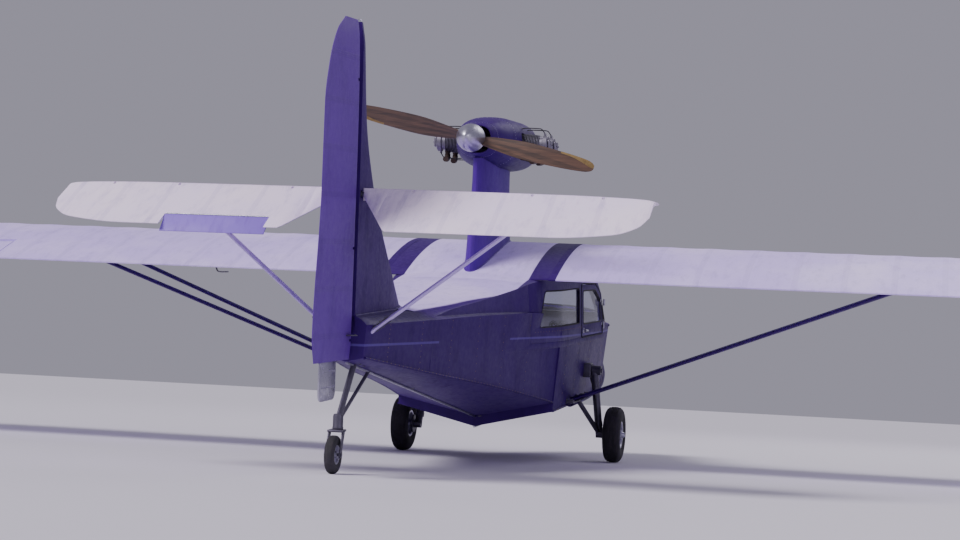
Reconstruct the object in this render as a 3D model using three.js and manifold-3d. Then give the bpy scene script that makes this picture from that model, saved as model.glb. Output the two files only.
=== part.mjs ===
// A two-seat amphibian flying boat, parked on its wheels.
// Millimetres. In the aircraft's own frame +Y is forward, +X is the right wing and +Z is up,
// and the origin is on the keel at the main step. The last lines set it down tail low on its wheels.
import * as THREE from 'three';
import { mergeVertices } from 'three/addons/utils/BufferGeometryUtils.js';
import Module from 'manifold-3d';

const wasm = await Module();
wasm.setup();

// Shared sizes
const gap = 0.3;
const runningGap = 6;
const sides = [['left', -1], ['right', 1]];

const hull = {
  skin: 25, cabinRearY: -600, cabinFrontY: 2150,
  floorZ: 130, splitZ: 600, ceilingZ: 1000, deckFrontY: 2260,
};
const wing = {
  chord: 1520, incidence: 4, trailY: -410, trailZ: 1010, rootX: 560, tipX: 5560,
  camber: 0.04, camberAt: 0.4, thickness: 0.15,
};
const aileron = { innerX: 3350, outerX: 5050, hingeAt: 0.78, noseRadius: 42 };
const tail = {
  z: 1466, hingeY: -3170, rudderHingeY: -3255, tipX: 1590, rootX: 42, droop: 25, postHalf: 42,
};
const wheel = { radius: 200, rim: 92, width: 126, x: 780, y: 1150, z: -105, axle: 15 };
const tailWheel = { radius: 100, rim: 50, width: 52, y: -3380, swivelY: -3310, axle: 8, stem: 12 };
const engine = { z: 1920, propY: -420 };
const door = {
  hingeX: 584, hingeY: 1709, hingeZs: [660, 830], gap: 5,
  outline: [[790, 605], [790, 965], [1400, 965], [1700, 885], [1700, 605]],
};
const parkedPitch = 4;

// Finishes
const finish = (color, roughness, metalness) => ({ color, roughness, metalness });
const finishes = {
  hullPaint: finish('#2c2456', 0.45, 0),
  wingPaint: finish('#ded6ee', 0.5, 0),
  rudderPaint: finish('#5a4a96', 0.55, 0),
  glass: finish('#aebbd0', 0.08, 0),
  steel: finish('#6d7078', 0.4, 0.9),
  aluminium: finish('#b9bcc4', 0.35, 0.9),
  tyre: finish('#1c1b1f', 0.9, 0),
  cushion: finish('#4a3b34', 0.85, 0),
  interior: finish('#6f6a78', 0.7, 0),
  wood: finish('#8a5a33', 0.5, 0),
};

// Solids: closed geometries become manifolds, so that pieces can be joined and cut
function outward(geometry) {
  const p = geometry.attributes.position;
  const index = geometry.index.array;
  const [a, b, c] = [new THREE.Vector3(), new THREE.Vector3(), new THREE.Vector3()];
  let volume = 0;
  for (let i = 0; i < index.length; i += 3) {
    a.fromBufferAttribute(p, index[i]);
    b.fromBufferAttribute(p, index[i + 1]);
    c.fromBufferAttribute(p, index[i + 2]);
    volume += a.dot(b.cross(c));
  }
  if (volume < 0) {
    for (let i = 0; i < index.length; i += 3) {
      [index[i], index[i + 1]] = [index[i + 1], index[i]];
    }
  }
  return geometry;
}

function solid(geometry) {
  geometry.deleteAttribute('normal');
  geometry.deleteAttribute('uv');
  const merged = outward(mergeVertices(geometry, 1e-3));
  return new wasm.Manifold(new wasm.Mesh({
    numProp: 3,
    vertProperties: new Float32Array(merged.attributes.position.array),
    triVerts: new Uint32Array(merged.index.array),
  }));
}

function join(...solids) {
  return solids.reduce((sum, next) => sum.add(next));
}

function cut(body, ...cutters) {
  return cutters.reduce((rest, next) => rest.subtract(next), body);
}

// Copies moved by one gap each, so that what they cut away leaves that gap
function shifted(form, ...moves) {
  return moves.map(([x, y, z]) => form.translate(x * gap, y * gap, z * gap));
}

function box(x0, x1, y0, y1, z0, z1) {
  const geometry = new THREE.BoxGeometry(x1 - x0, y1 - y0, z1 - z0);
  geometry.translate((x0 + x1) / 2, (y0 + y1) / 2, (z0 + z1) / 2);
  return solid(geometry);
}

// A straight bar between two points, round or with its own width and depth
function bar(from, to, radius, { depth = radius, segments = 12, up = null } = {}) {
  const start = new THREE.Vector3(...from);
  const along = new THREE.Vector3(...to).sub(start);
  const geometry = new THREE.CylinderGeometry(radius, radius, along.length(), segments);
  geometry.rotateX(Math.PI / 2);
  geometry.translate(0, 0, along.length() / 2);
  geometry.scale(1, depth / radius, 1);
  const z = along.clone().normalize();
  const reference = new THREE.Vector3(...(up ?? (Math.abs(z.y) > 0.9 ? [0, 0, 1] : [0, 1, 0])));
  const x = new THREE.Vector3().crossVectors(reference, z).normalize();
  const y = new THREE.Vector3().crossVectors(z, x);
  geometry.applyMatrix4(new THREE.Matrix4().makeBasis(x, y, z));
  geometry.translate(...from);
  return solid(geometry);
}

// A turned piece about a line along X or Y or Z: the profile holds [radius, distance] pairs
function turned(profile, segments, axis, centre) {
  const points = profile.map(([radius, distance]) => new THREE.Vector2(radius, distance));
  points.push(points[0].clone());
  const geometry = new THREE.LatheGeometry(points, segments);
  if (axis === 'x') geometry.rotateZ(-Math.PI / 2);
  if (axis === 'z') geometry.rotateX(Math.PI / 2);
  geometry.translate(...centre);
  return solid(geometry);
}

// A skin through rings with the same number of points, closed by flat ends
function loft(rings) {
  const count = rings[0].length;
  const positions = rings.flat().flat();
  const index = [];
  for (let r = 0; r + 1 < rings.length; r += 1) {
    for (let i = 0; i < count; i += 1) {
      const [a, b] = [r * count + i, r * count + (i + 1) % count];
      index.push(a, b, a + count, b, b + count, a + count);
    }
  }
  const last = (rings.length - 1) * count;
  for (const [ring, offset, flip] of [[rings[0], 0, true], [rings.at(-1), last, false]]) {
    const spans = new THREE.Box3().setFromArray(ring.flat()).getSize(new THREE.Vector3()).toArray();
    const [u, v] = [0, 1, 2].filter((k) => k !== spans.indexOf(Math.min(...spans)));
    const flat = ring.map((p) => new THREE.Vector2(p[u], p[v]));
    const clockwise = THREE.ShapeUtils.isClockWise(flat);
    for (const [a, b, c] of THREE.ShapeUtils.triangulateShape(flat, [])) {
      index.push(...(orient(flat, clockwise, [a, b, c], flip).map((i) => i + offset)));
    }
  }
  const geometry = new THREE.BufferGeometry();
  geometry.setAttribute('position', new THREE.Float32BufferAttribute(positions, 3));
  geometry.setIndex(index);
  return solid(geometry);
}

// A cap's triangle wound the way its ring runs, or against it
function orient(flat, clockwise, [a, b, c], flip) {
  const side = flat[b].clone().sub(flat[a]).cross(flat[c].clone().sub(flat[a]));
  const withRing = side > 0 === !clockwise;
  return withRing !== flip ? [a, b, c] : [a, c, b];
}

function mirrored(halfRing) {
  const inner = halfRing.filter(([x]) => x > 0);
  return [...halfRing, ...inner.reverse().map(([x, y, z]) => [-x, y, z])];
}

// Hull sections, from stern to bow. Columns: y, keel z, chine x, chine z, deck edge x, deck edge z, crown
const afterbody = [
  [-3210, 584, 92, 606, 108, 780, 48],
  [-2300, 438, 232, 486, 248, 790, 48],
  [-1300, 278, 362, 366, 387, 800, 44],
  [-600, 166, 450, 272, 488, 800, 44],
  [30, 65, 530, 180, 575, 760, 40],
];
const forebody = [
  [0, 0, 530, 125, 575, 660, 50],
  [1200, 8, 532, 138, 575, 655, 55],
  [1900, 34, 520, 176, 560, 650, 60],
  [2450, 92, 466, 240, 510, 645, 60],
  [2900, 188, 372, 334, 412, 634, 52],
  [3250, 312, 246, 430, 276, 618, 36],
  [3470, 440, 122, 510, 140, 602, 18],
  [3550, 530, 40, 556, 48, 592, 6],
];

function hullRing([y, keelZ, chineX, chineZ, edgeX, edgeZ, crown], inset = 0) {
  return mirrored([
    [0, y, keelZ + inset], [chineX - inset, y, chineZ + inset], [edgeX - inset, y, edgeZ - inset],
    [edgeX * 0.72 - inset, y, edgeZ + crown * 0.62 - inset],
    [edgeX * 0.38, y, edgeZ + crown * 0.93 - inset], [0, y, edgeZ + crown - inset],
  ]);
}

// Cabin top sections over the hull. Columns: y, foot x, shoulder x, shoulder z, crown z
const cabin = [
  [-2300, 236, 216, 790, 842],
  [-1900, 290, 268, 846, 874],
  [-1500, 343, 318, 880, 904],
  [-900, 430, 400, 940, 968],
  [-410, 512, 482, 1000, 1030],
  [100, 577, 560, 1030, 1090],
  [1110, 577, 560, 1060, 1128],
  [1400, 577, 558, 1020, 1080],
  [1720, 575, 553, 905, 960],
  [1900, 562, 536, 832, 886],
  [2300, 512, 480, 655, 706],
];

function cabinRing([y, footX, shoulderX, shoulderZ, crownZ], inset = 0) {
  return mirrored([
    [0, y, 560 + inset], [footX - inset, y, 560 + inset], [footX - inset, y, 655],
    [shoulderX - inset, y, shoulderZ - inset],
    [shoulderX * 0.7 - inset, y, shoulderZ + (crownZ - shoulderZ) * 0.68 - inset],
    [0, y, crownZ - inset],
  ]);
}

// Height of the wing's middle line at a share of the chord, as a share of the chord
function camberLine(t) {
  const { camber, camberAt } = wing;
  return t < camberAt
    ? (camber / camberAt ** 2) * (2 * camberAt * t - t ** 2)
    : (camber / (1 - camberAt) ** 2) * (1 - 2 * camberAt + 2 * camberAt * t - t ** 2);
}

// The wing's section at one spanwise place: a cambered profile with a blunt 3 mm trailing edge
function wingRing(x, scale = 1, thicken = 1, points = 11) {
  const { chord, incidence, trailY, trailZ, thickness } = wing;
  const angle = THREE.MathUtils.degToRad(incidence);
  const size = chord * scale;
  const trail = trailY + 0.55 * (chord - size) * 0.6;
  const upper = [];
  const lower = [];
  for (let i = 0; i < points; i += 1) {
    const t = (1 - Math.cos((Math.PI * i) / (points - 1))) / 2;
    const half = 5 * thickness * thicken * (0.2969 * Math.sqrt(t) - 0.126 * t - 0.3516 * t ** 2
      + 0.2843 * t ** 3 - 0.1015 * t ** 4) + 0.001 * t;
    const line = camberLine(t);
    const place = (rise) => {
      const [back, up] = [(1 - t) * size, rise * size];
      return [x, trail + back * Math.cos(angle) - up * Math.sin(angle),
        trailZ + back * Math.sin(angle) + up * Math.cos(angle)];
    };
    upper.push(place(line + half));
    if (i > 0) lower.push(place(line - half));
  }
  return [...upper.reverse(), ...lower];
}

// Spanwise stations. Columns: share of the panel, chord scale, thickness scale
const wingStations = [
  [0, 1, 1], [0.94, 1, 1], [0.965, 0.93, 0.93], [0.985, 0.8, 0.8], [0.996, 0.58, 0.6], [1, 0.4, 0.35],
];

function wingPanel(side) {
  const { rootX, tipX } = wing;
  return loft(wingStations.map(([share, scale, thicken]) => (
    wingRing(side * (rootX + gap + (tipX - rootX) * share), scale, thicken))));
}

// Height of the wing's middle line at a distance forward of its trailing edge
function wingMidZ(back) {
  const rise = camberLine(1 - back / wing.chord) * wing.chord;
  return wing.trailZ + back * Math.sin(THREE.MathUtils.degToRad(wing.incidence)) + rise;
}

// A hinge along X or Z: the lug grows from the fixed piece, the slot and pin belong to the moving one.
// The fixed piece lies ahead of the axis, at most `reach` away
const knuckleSizes = { pin: 4, lugHalf: 4, slotHalf: 7, lugRadius: 12, slotBack: 22, slotHigh: 60 };
function hinge(axis, [x, y, z], reach) {
  const { pin, lugHalf, slotHalf, lugRadius, slotBack, slotHigh } = knuckleSizes;
  const onX = axis === 'x';
  const block = (half, across, y0, y1) => (onX
    ? box(x - half, x + half, y0, y1, z - across, z + across)
    : box(x - across, x + across, y0, y1, z - half, z + half));
  const rod = (radius, half, segments = 16) => (onX
    ? bar([x - half, y, z], [x + half, y, z], radius, { segments })
    : bar([x, y, z - half], [x, y, z + half], radius, { segments }));
  return {
    lug: cut(
      join(block(lugHalf, lugRadius, y, y + reach), rod(lugRadius, lugHalf)), rod(pin + gap, lugHalf + 1)),
    slot: block(slotHalf, slotHigh, y - slotBack, y + reach + 30),
    pin: rod(pin, slotHalf + 3),
  };
}

// A moving surface with its hinges' slots cut out and their pins put in
function pinned(form, hinges) {
  return join(cut(form, ...hinges.map((h) => h.slot)), ...hinges.map((h) => h.pin));
}

// A symmetrical blade section, as [along, across] pairs from the leading edge back to a flat rear face
function bladeHalf(lead, rear, half) {
  const chord = lead - rear;
  return [[lead, 0], [lead - 0.05 * chord, 0.5 * half], [lead - 0.18 * chord, 0.82 * half],
    [lead - 0.45 * chord, half], [rear, half]];
}

// A control surface's section: a round nose about the hinge and a thin trailing edge
function flapHalf(hingeY, trail, half) {
  const nose = [0, 30, 60].map((deg) => {
    const a = THREE.MathUtils.degToRad(deg);
    return [hingeY + half * Math.cos(a), half * Math.sin(a)];
  });
  return [...nose, [hingeY - 10, half], [trail + 3, 2], [trail, 1.5]];
}

function around(halfRing) {
  const inner = halfRing.filter(([, across]) => across > 0);
  return [...halfRing, ...inner.reverse().map(([along, across]) => [along, -across])];
}

const uprightRing = (z, halfRing) => around(halfRing).map(([y, x]) => [x, y, z]);
const levelRing = (x, halfRing) => around(halfRing).map(([y, z]) => [x, y, tail.z + z]);

// Hull and cabin: one outer form, hollowed, then split at the sill and at the cabin's ends
const centreSection = loft([-wing.rootX, wing.rootX].map((x) => wingRing(x)));
const midship = ([y], inset) => inset === 0 || Math.abs(y) < 3000;
const hullForm = (inset) => join(...[afterbody, forebody].map((stations) => (
  loft(stations.filter((s) => midship(s, inset)).map((s) => hullRing(s, inset))))));
const cabinForm = (inset) => loft(cabin.map((s) => cabinRing(s, inset)));
const outerForm = join(hullForm(0), cabinForm(0), centreSection);
const innerForm = join(hullForm(hull.skin), cabinForm(hull.skin));
const cavity = cut(
  innerForm.intersect(box(-700, 700, hull.cabinRearY + hull.skin, hull.cabinFrontY, hull.floorZ - 12, 1400)),
  box(-700, 700, -700, 1150, hull.ceilingZ - 15, 1400),
);

// Turns a shape drawn in its own x and y into one drawn in y and z, with its depth along x
const sideways = new THREE.Matrix4().makeBasis(
  new THREE.Vector3(0, 1, 0), new THREE.Vector3(0, 0, 1), new THREE.Vector3(1, 0, 0));

// Window openings as prisms: the windscreen's from above, the others from the side
const offsetOutline = (outline, grow) => {
  const points = outline.map(([y, z]) => new THREE.Vector2(y, z));
  const sign = THREE.ShapeUtils.isClockWise(points) ? -1 : 1;
  return points.map((point, i) => {
    const before = point.clone().sub(points.at(i - 1)).normalize();
    const after = points[(i + 1) % points.length].clone().sub(point).normalize();
    const normals = [before, after].map((d) => new THREE.Vector2(d.y, -d.x).multiplyScalar(sign));
    const bisector = normals[0].clone().add(normals[1]);
    return point.clone().addScaledVector(bisector, (2 * grow) / bisector.lengthSq());
  });
};
const sidePrism = (outline, side, grow = 0) => {
  const shape = new THREE.Shape(offsetOutline(outline, grow));
  const geometry = new THREE.ExtrudeGeometry(shape, { depth: 300, bevelEnabled: false });
  geometry.applyMatrix4(sideways);
  geometry.translate(side > 0 ? 400 : -700, 0, 0);
  return solid(geometry);
};
const screenPrism = (side, grow = 0) => {
  const [x0, x1] = [12 - grow, 462 + grow];
  return box(side > 0 ? x0 : -x1, side > 0 ? x1 : -x0, 1240 - grow, 2110 + grow, 700, 1400);
};
const glassSkin = cabinForm(9).subtract(cabinForm(14));
const windows = {
  quarter: [[-430, 700], [-300, 935], [690, 945], [690, 700]],
  front: [[1760, 690], [1760, 850], [1890, 770], [2060, 690]],
  door: [[850, 690], [850, 925], [1390, 925], [1640, 858], [1640, 690]],
};

const pieces = [];
const piece = (name, form, look) => pieces.push({ name, form, look });

// Fittings that are part of the hull: strut and gear lugs at the chine, a cleat pad on the bow deck
const strutFeet = [['front', 700, 700], ['rear', 545, 60]];
const hullFittings = sides.flatMap(([, side]) => [
  box(Math.min(side * 500, side * 590), Math.max(side * 500, side * 590), 490, 755, 150, 178),
  box(Math.min(side * 500, side * 600), Math.max(side * 500, side * 600), 1095, 1205, 300, 400),
]);
const bowPad = box(-60, 60, 2840, 2960, 660, 706);
const sternLugs = [700].map((z) => hinge('z', [0, tail.rudderHingeY, z], 60));
const belowSplit = box(-800, 800, -3400, 3700, -100, hull.splitZ);
const beyondCabin = join(box(-800, 800, -3400, hull.cabinRearY, hull.splitZ - 1, 1400),
  box(-800, 800, hull.deckFrontY, 3700, hull.splitZ - 1, 1400));
const hullBody = join(
  cut(outerForm, cavity).intersect(join(belowSplit, beyondCabin)),
  bowPad, ...hullFittings, ...sternLugs.map((h) => h.lug));
piece('hull', cut(hullBody, cavity), 'hullPaint');

const cabinShell = cut(outerForm, cavity).intersect(
  box(-800, 800, hull.cabinRearY + gap, hull.deckFrontY - gap, hull.splitZ + gap, 1400));
const doorHinges = sides.map(([, side]) => door.hingeZs.map((z) => ({
  side, z, axis: [side * door.hingeX, door.hingeY],
})));
const leaf = (side, z0, z1, y0, y1) => box(
  side > 0 ? 545 : -door.hingeX, side > 0 ? door.hingeX : -545, y0, y1, z0, z1);
const knuckle = (x, y, z0, z1, radius) => bar([x, y, z0], [x, y, z1], radius, { segments: 16 });
const fixedLeaves = doorHinges.flat().flatMap(({ side, z, axis: [x, y] }) => [
  leaf(side, z - 25, z - 1, y - 1, y + 22), knuckle(x, y, z - 25, z - 1, 8),
  knuckle(x, y, z - 25, z + 23, 4),
]);
const cabinTop = cut(cabinShell,
  ...sides.flatMap(([, side]) => [
    sidePrism(door.outline, side, door.gap), screenPrism(side),
    sidePrism(windows.quarter, side), sidePrism(windows.front, side),
  ]));
piece('cabin_top', cut(join(cabinTop, ...fixedLeaves), cavity), 'hullPaint');

for (const [name, side] of sides) {
  const hinges = doorHinges[side > 0 ? 1 : 0];
  const wall = cut(outerForm, innerForm).intersect(sidePrism(door.outline, side));
  const panel = cut(wall, sidePrism(windows.door, side));
  const leaves = hinges.map(({ z, axis: [x, y] }) => cut(
    join(leaf(side, z, z + 22, y - 24, y - 5), knuckle(x, y, z, z + 22, 8)),
    knuckle(x, y, z - 2, z + 24, 4 + gap)));
  piece(`door_${name}`, cut(join(panel, ...leaves), innerForm), 'hullPaint');
  piece(`door_window_${name}`, glassSkin.intersect(sidePrism(windows.door, side, -gap)), 'glass');
  piece(`quarter_window_${name}`, glassSkin.intersect(sidePrism(windows.quarter, side, -gap)), 'glass');
  piece(`front_window_${name}`, glassSkin.intersect(sidePrism(windows.front, side, -gap)), 'glass');
  piece(`windscreen_${name}`, glassSkin.intersect(screenPrism(side, -gap)), 'glass');
}

// Cabin furniture
const liner = join(hullForm(hull.skin + gap), cabinForm(hull.skin + gap));
piece('cabin_floor', liner.intersect(box(-600, 600, 20, 2000, hull.floorZ - 12 + gap, hull.floorZ)), 'wood');
piece('instrument_panel', cut(
  liner.intersect(box(-600, 600, 1800, 1822, 470, 745)),
  box(-160, 160, 1790, 1830, 470, 560)), 'interior');
piece('seat_base', box(-385, 385, 250, 700, hull.floorZ + gap, 330), 'wood');
const seat = { top: 330, rearY: 262, recline: 20, cushion: 90, squab: 60 };
const reclined = (form) => form.rotate(seat.recline, 0, 0).translate(0, seat.rearY, seat.top);
piece('seat_back', cut(
  reclined(box(-385, 385, -22, 0, -20, 480)), box(-400, 400, 200, 400, 250, seat.top + gap)), 'wood');

const padShape = (width, length, radius) => {
  const shape = new THREE.Shape();
  const [w, l] = [width / 2, length / 2];
  shape.moveTo(-w + radius, -l);
  shape.lineTo(w - radius, -l);
  shape.absarc(w - radius, -l + radius, radius, -Math.PI / 2, 0);
  shape.absarc(w - radius, l - radius, radius, 0, Math.PI / 2);
  shape.absarc(-w + radius, l - radius, radius, Math.PI / 2, Math.PI);
  shape.absarc(-w + radius, -l + radius, radius, Math.PI, Math.PI * 1.5);
  return shape;
};
const pad = (width, length, thick) => solid(new THREE.ExtrudeGeometry(
  padShape(width, length, 40), { depth: thick, bevelEnabled: false, curveSegments: 4 }));
for (const [name, side] of sides) {
  const cushion = pad(376, 400, seat.cushion).translate(side * 192, 495, seat.top + gap);
  const squab = pad(376, 360, seat.squab).rotate(90, 0, 0).translate(side * 192, seat.squab + gap, 290);
  piece(`seat_cushion_${name}`, cushion, 'cushion');
  piece(`seat_squab_${name}`, reclined(squab), 'cushion');
  piece(`control_stick_${name}`, join(
    bar([side * 200, 1010, hull.floorZ + gap], [side * 200, 1010, 160], 38),
    bar([side * 200, 1010, 150], [side * 200, 900, 500], 11),
    bar([side * 200, 902, 495], [side * 200, 872, 600], 17)), 'steel');
}

// Wings, with their ailerons cut out and hinged on pins
const aileronY = wing.trailY + (1 - aileron.hingeAt) * wing.chord;
const aileronZ = wingMidZ((1 - aileron.hingeAt) * wing.chord);
for (const [name, side] of sides) {
  const panel = cut(wingPanel(side), cabinForm(0).translate(side * gap, 0, 0));
  const middleX = side * (aileron.innerX + aileron.outerX) / 2;
  const halfSpan = (aileron.outerX - aileron.innerX) / 2;
  const [i0, i1] = [middleX - halfSpan, middleX + halfSpan];
  const [o0, o1] = [i0 - runningGap, i1 + runningGap];
  const nose = bar([i0, aileronY, aileronZ], [i1, aileronY, aileronZ], aileron.noseRadius, { segments: 20 });
  const hinges = [aileron.innerX + 250, aileron.outerX - 250].map((x) => (
    hinge('x', [side * x, aileronY, aileronZ], aileron.noseRadius + runningGap + 20)));
  const well = box(o0, o1, -600, aileronY + aileron.noseRadius + runningGap, 900, 1300);
  const tieDown = box(side * 3030 - 40, side * 3030 + 40, 560, 640, 1004, 1060);
  piece(`wing_${name}`, join(cut(panel, well), tieDown, ...hinges.map((h) => h.lug)), 'wingPaint');
  const flap = join(panel.intersect(box(i0, i1, -600, aileronY, 900, 1300)), nose.intersect(panel));
  piece(`aileron_${name}`, pinned(flap, hinges), 'wingPaint');

  const underside = panel.translate(0, 0, -gap);
  const hullSide = hullBody.translate(side * gap, 0, gap);
  for (const [place, footY, topY] of strutFeet) {
    const ends = [[side * 560, footY, 170], [side * 2900, topY, 1080]];
    const strut = bar(...ends, 34, { depth: 14, segments: 16, up: [0, 0, 1] });
    piece(`wing_strut_${place}_${name}`, cut(strut, underside, hullSide), 'hullPaint');
  }

  // Wing-tip float on two struts
  const floatX = side * 4760;
  const floatRings = [
    [-150, 20, 470, 490], [60, 105, 420, 520], [420, 142, 330, 545], [440, 142, 318, 545],
    [760, 138, 322, 545], [980, 92, 372, 540], [1110, 22, 470, 515],
  ].map(([y, half, low, high]) => mirrored([
    [0, y, low], [half * 0.8, y, low + (high - low) * 0.38], [half, y, low + (high - low) * 0.7],
    [half * 0.6, y, high - 4], [0, y, high],
  ]).map(([x, py, z]) => [floatX + x, py, z]));
  const floatStruts = [[700, 640], [260, 200]].map(([y0, y1]) => (
    bar([floatX, y0, 500], [floatX, y1, 1080], 26, { depth: 11, up: [1, 0, 0] })));
  piece(`tip_float_${name}`, cut(join(loft(floatRings), ...floatStruts), underside), 'hullPaint');
}

// Tail: fin, rudder, two-part tailplane and one pair of elevators on a cross tube
const finStations = [[780, -2060], [1011, -2310], [1500, -2805], [1856, -3020], [2250, -3120], [2365, -3150]];
const finRear = tail.rudderHingeY + 45;
const rudderHinges = [1180, 2060].map((z) => hinge('z', [0, tail.rudderHingeY, z], 50));
const fin = loft(finStations.map(([z, lead], i) => (
  uprightRing(z, bladeHalf(lead, finRear, i > 3 ? tail.postHalf * (i > 4 ? 0.5 : 0.86) : tail.postHalf)))));
const tubeHole = bar([-80, tail.hingeY, tail.z], [80, tail.hingeY, tail.z], 20, { segments: 20 });
const finSeats = shifted(outerForm, [0, 0, 1], [0, -1, 0]);
piece('fin', cut(join(fin, ...rudderHinges.map((h) => h.lug)), tubeHole, ...finSeats), 'hullPaint');

const rudderStations = [
  [600, -3790, 30], [730, -3830, 36], [1470, -3756, 36], [1915, -3750, 34], [2130, -3690, 30],
  [2290, -3575, 24], [2370, -3440, 14],
];
const rudderBlade = loft(rudderStations.map(([z, trail, half]) => (
  uprightRing(z, flapHalf(tail.rudderHingeY, trail, half)))));
const allRudderHinges = [...sternLugs, ...rudderHinges];
piece('rudder', pinned(rudderBlade, allRudderHinges), 'rudderPaint');
piece('water_rudder', box(-5, 5, -3700, -3400, 400, 600 - gap), 'aluminium');

const surfaceStations = [[0, 1, 1], [0.7, 1, 0.9], [0.9, 0.88, 0.7], [0.975, 0.66, 0.5], [1, 0.4, 0.25]];
const spread = (share) => tail.rootX + gap + (tail.tipX - tail.rootX) * share;
const tabX = [355, 925];
for (const [name, side] of sides) {
  const rear = tail.hingeY + 38;
  const hinges = [330, 960, 1330].map((x) => hinge('x', [side * x, tail.hingeY, tail.z], 45));
  const surface = loft(surfaceStations.map(([share, scale, thin]) => (
    levelRing(side * spread(share), bladeHalf(rear + (460 - 90 * share) * scale, rear, 33 * thin)))));
  piece(`tailplane_${name}`, join(surface, ...hinges.map((h) => h.lug)), 'wingPaint');

  const blade = loft(surfaceStations.map(([share, scale, thin]) => (
    levelRing(side * spread(share), flapHalf(tail.hingeY, tail.hingeY - 460 * scale, 30 * thin)))));
  const vee = new THREE.Shape([[0, 100], [62, 100], [62, 0], [62 + 0.5 * 520, -520], [0, -520]]
    .map(([x, y]) => new THREE.Vector2(x, y)));
  const veeCut = new THREE.ExtrudeGeometry(vee, { depth: 200, bevelEnabled: false });
  veeCut.translate(0, tail.hingeY, tail.z - 100);
  if (side < 0) veeCut.scale(-1, 1, 1);
  const tabSlot = side < 0 ? [box(-tabX[1], -tabX[0], tail.hingeY - 600, tail.hingeY - 350, 1300, 1600)] : [];
  const flap = pinned(cut(blade, solid(veeCut), ...tabSlot), hinges);
  const droop = (form) => form.translate(0, -tail.hingeY, -tail.z)
    .rotate(tail.droop, 0, 0).translate(0, tail.hingeY, tail.z);
  piece(`elevator_${name}`, droop(flap), 'wingPaint');
  if (side < 0) {
    const halfThick = 8;
    const wedge = new THREE.Shape([
      [0, 0], [0, 2 * halfThick], [-118, halfThick + 1.5], [-118, halfThick - 1.5],
    ].map(([y, z]) => new THREE.Vector2(y, z)));
    const tab = new THREE.ExtrudeGeometry(wedge, { depth: tabX[1] - tabX[0] - 4, bevelEnabled: false });
    tab.applyMatrix4(sideways);
    tab.rotateX(THREE.MathUtils.degToRad(20));
    tab.translate(-tabX[1] + 2, tail.hingeY - 350 - gap, tail.z - halfThick);
    piece('trim_tab', droop(solid(tab)), 'wingPaint');
  }
  const stay = bar([side * 95, -3130, 730], [side * 1000, -2990, tail.z], 13, { depth: 7, up: [0, 0, 1] });
  const staySeats = [surface.translate(0, 0, -gap), outerForm.translate(side * gap, 0, 0)];
  piece(`tail_strut_${name}`, cut(stay, ...staySeats), 'wingPaint');
}
piece('elevator_tube', bar([-62 + gap, tail.hingeY, tail.z], [62 - gap, tail.hingeY, tail.z], 13), 'steel');

// Pusher engine in a nacelle on a faired pylon
const nacelleStations = [
  [1010, 52, 48], [985, 120, 105], [890, 190, 150], [620, 232, 178],
  [220, 226, 176], [-100, 170, 140], [-270, 104, 96],
];
const nacelleRing = ([y, halfX, halfZ], inset = 0) => Array.from({ length: 20 }, (_, i) => {
  const a = (i / 20) * Math.PI * 2;
  const power = (v) => Math.sign(v) * Math.abs(v) ** 0.8;
  return [(halfX - inset) * power(Math.cos(a)), y, engine.z + (halfZ - inset) * power(Math.sin(a))];
});
const nacelleForm = loft(nacelleStations.map((s) => nacelleRing(s)));
const nacelleInner = loft(nacelleStations.slice(1).map(([y, halfX, halfZ], i, list) => {
  const at = i === 0 ? 970 : y;
  return nacelleRing([i === list.length - 1 ? -290 : at, halfX, halfZ], 12);
}));
const cylinderSlots = [[60, 300], [-300, -60]].map(([x0, x1]) => (
  box(x0, x1, 160, 590, engine.z - 74, engine.z + 74)));
piece('nacelle', cut(nacelleForm, nacelleInner, ...cylinderSlots), 'hullPaint');

// Pylon sections. Columns: z, front y, rear y, half width
const pylonStations = [
  [1100, 880, -320, 96], [1320, 800, -290, 84], [1700, 740, -220, 76], [1800, 740, -220, 76],
];
const pylonForm = loft(pylonStations.map(([z, front, rear, half]) => {
  const middle = (front + rear) / 2;
  const reach = (front - rear) / 2;
  return Array.from({ length: 16 }, (_, i) => {
    const a = (i / 16) * Math.PI * 2;
    return [half * Math.sin(a), middle + reach * Math.cos(a), z];
  });
}));
const pylonSeats = [outerForm.translate(0, 0, gap), nacelleForm.translate(0, 0, -gap)];
piece('engine_pylon', cut(pylonForm, ...pylonSeats), 'rudderPaint');

const cylinderY = [260, 490];
const barrel = [[0, 110], [58, 110]];
for (let x = 180; x < 350; x += 38) barrel.push([58, x], [72, x], [72, x + 16], [58, x + 16]);
barrel.push([58, 362], [62, 366], [62, 392], [44, 404], [0, 404]);
const barrels = sides.flatMap(([, side]) => cylinderY.map((y) => {
  const points = [...barrel, barrel[0]].map(([r, x]) => new THREE.Vector2(r, x));
  const geometry = new THREE.LatheGeometry(points, 12);
  geometry.rotateZ(side > 0 ? -Math.PI / 2 : Math.PI / 2);
  geometry.translate(0, y, engine.z);
  return solid(geometry);
}));
const block = box(-130, 130, 60, 660, engine.z - 95, engine.z + 80);
const bearers = box(-70, 70, 150, 560, engine.z - 200, engine.z - 90)
  .intersect(nacelleInner.translate(0, 0, gap));
const shaft = bar([0, engine.propY + 80 + gap, engine.z], [0, 80, engine.z], 32, { segments: 20 });
piece('engine', join(block, bearers, shaft, ...barrels), 'aluminium');

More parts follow.
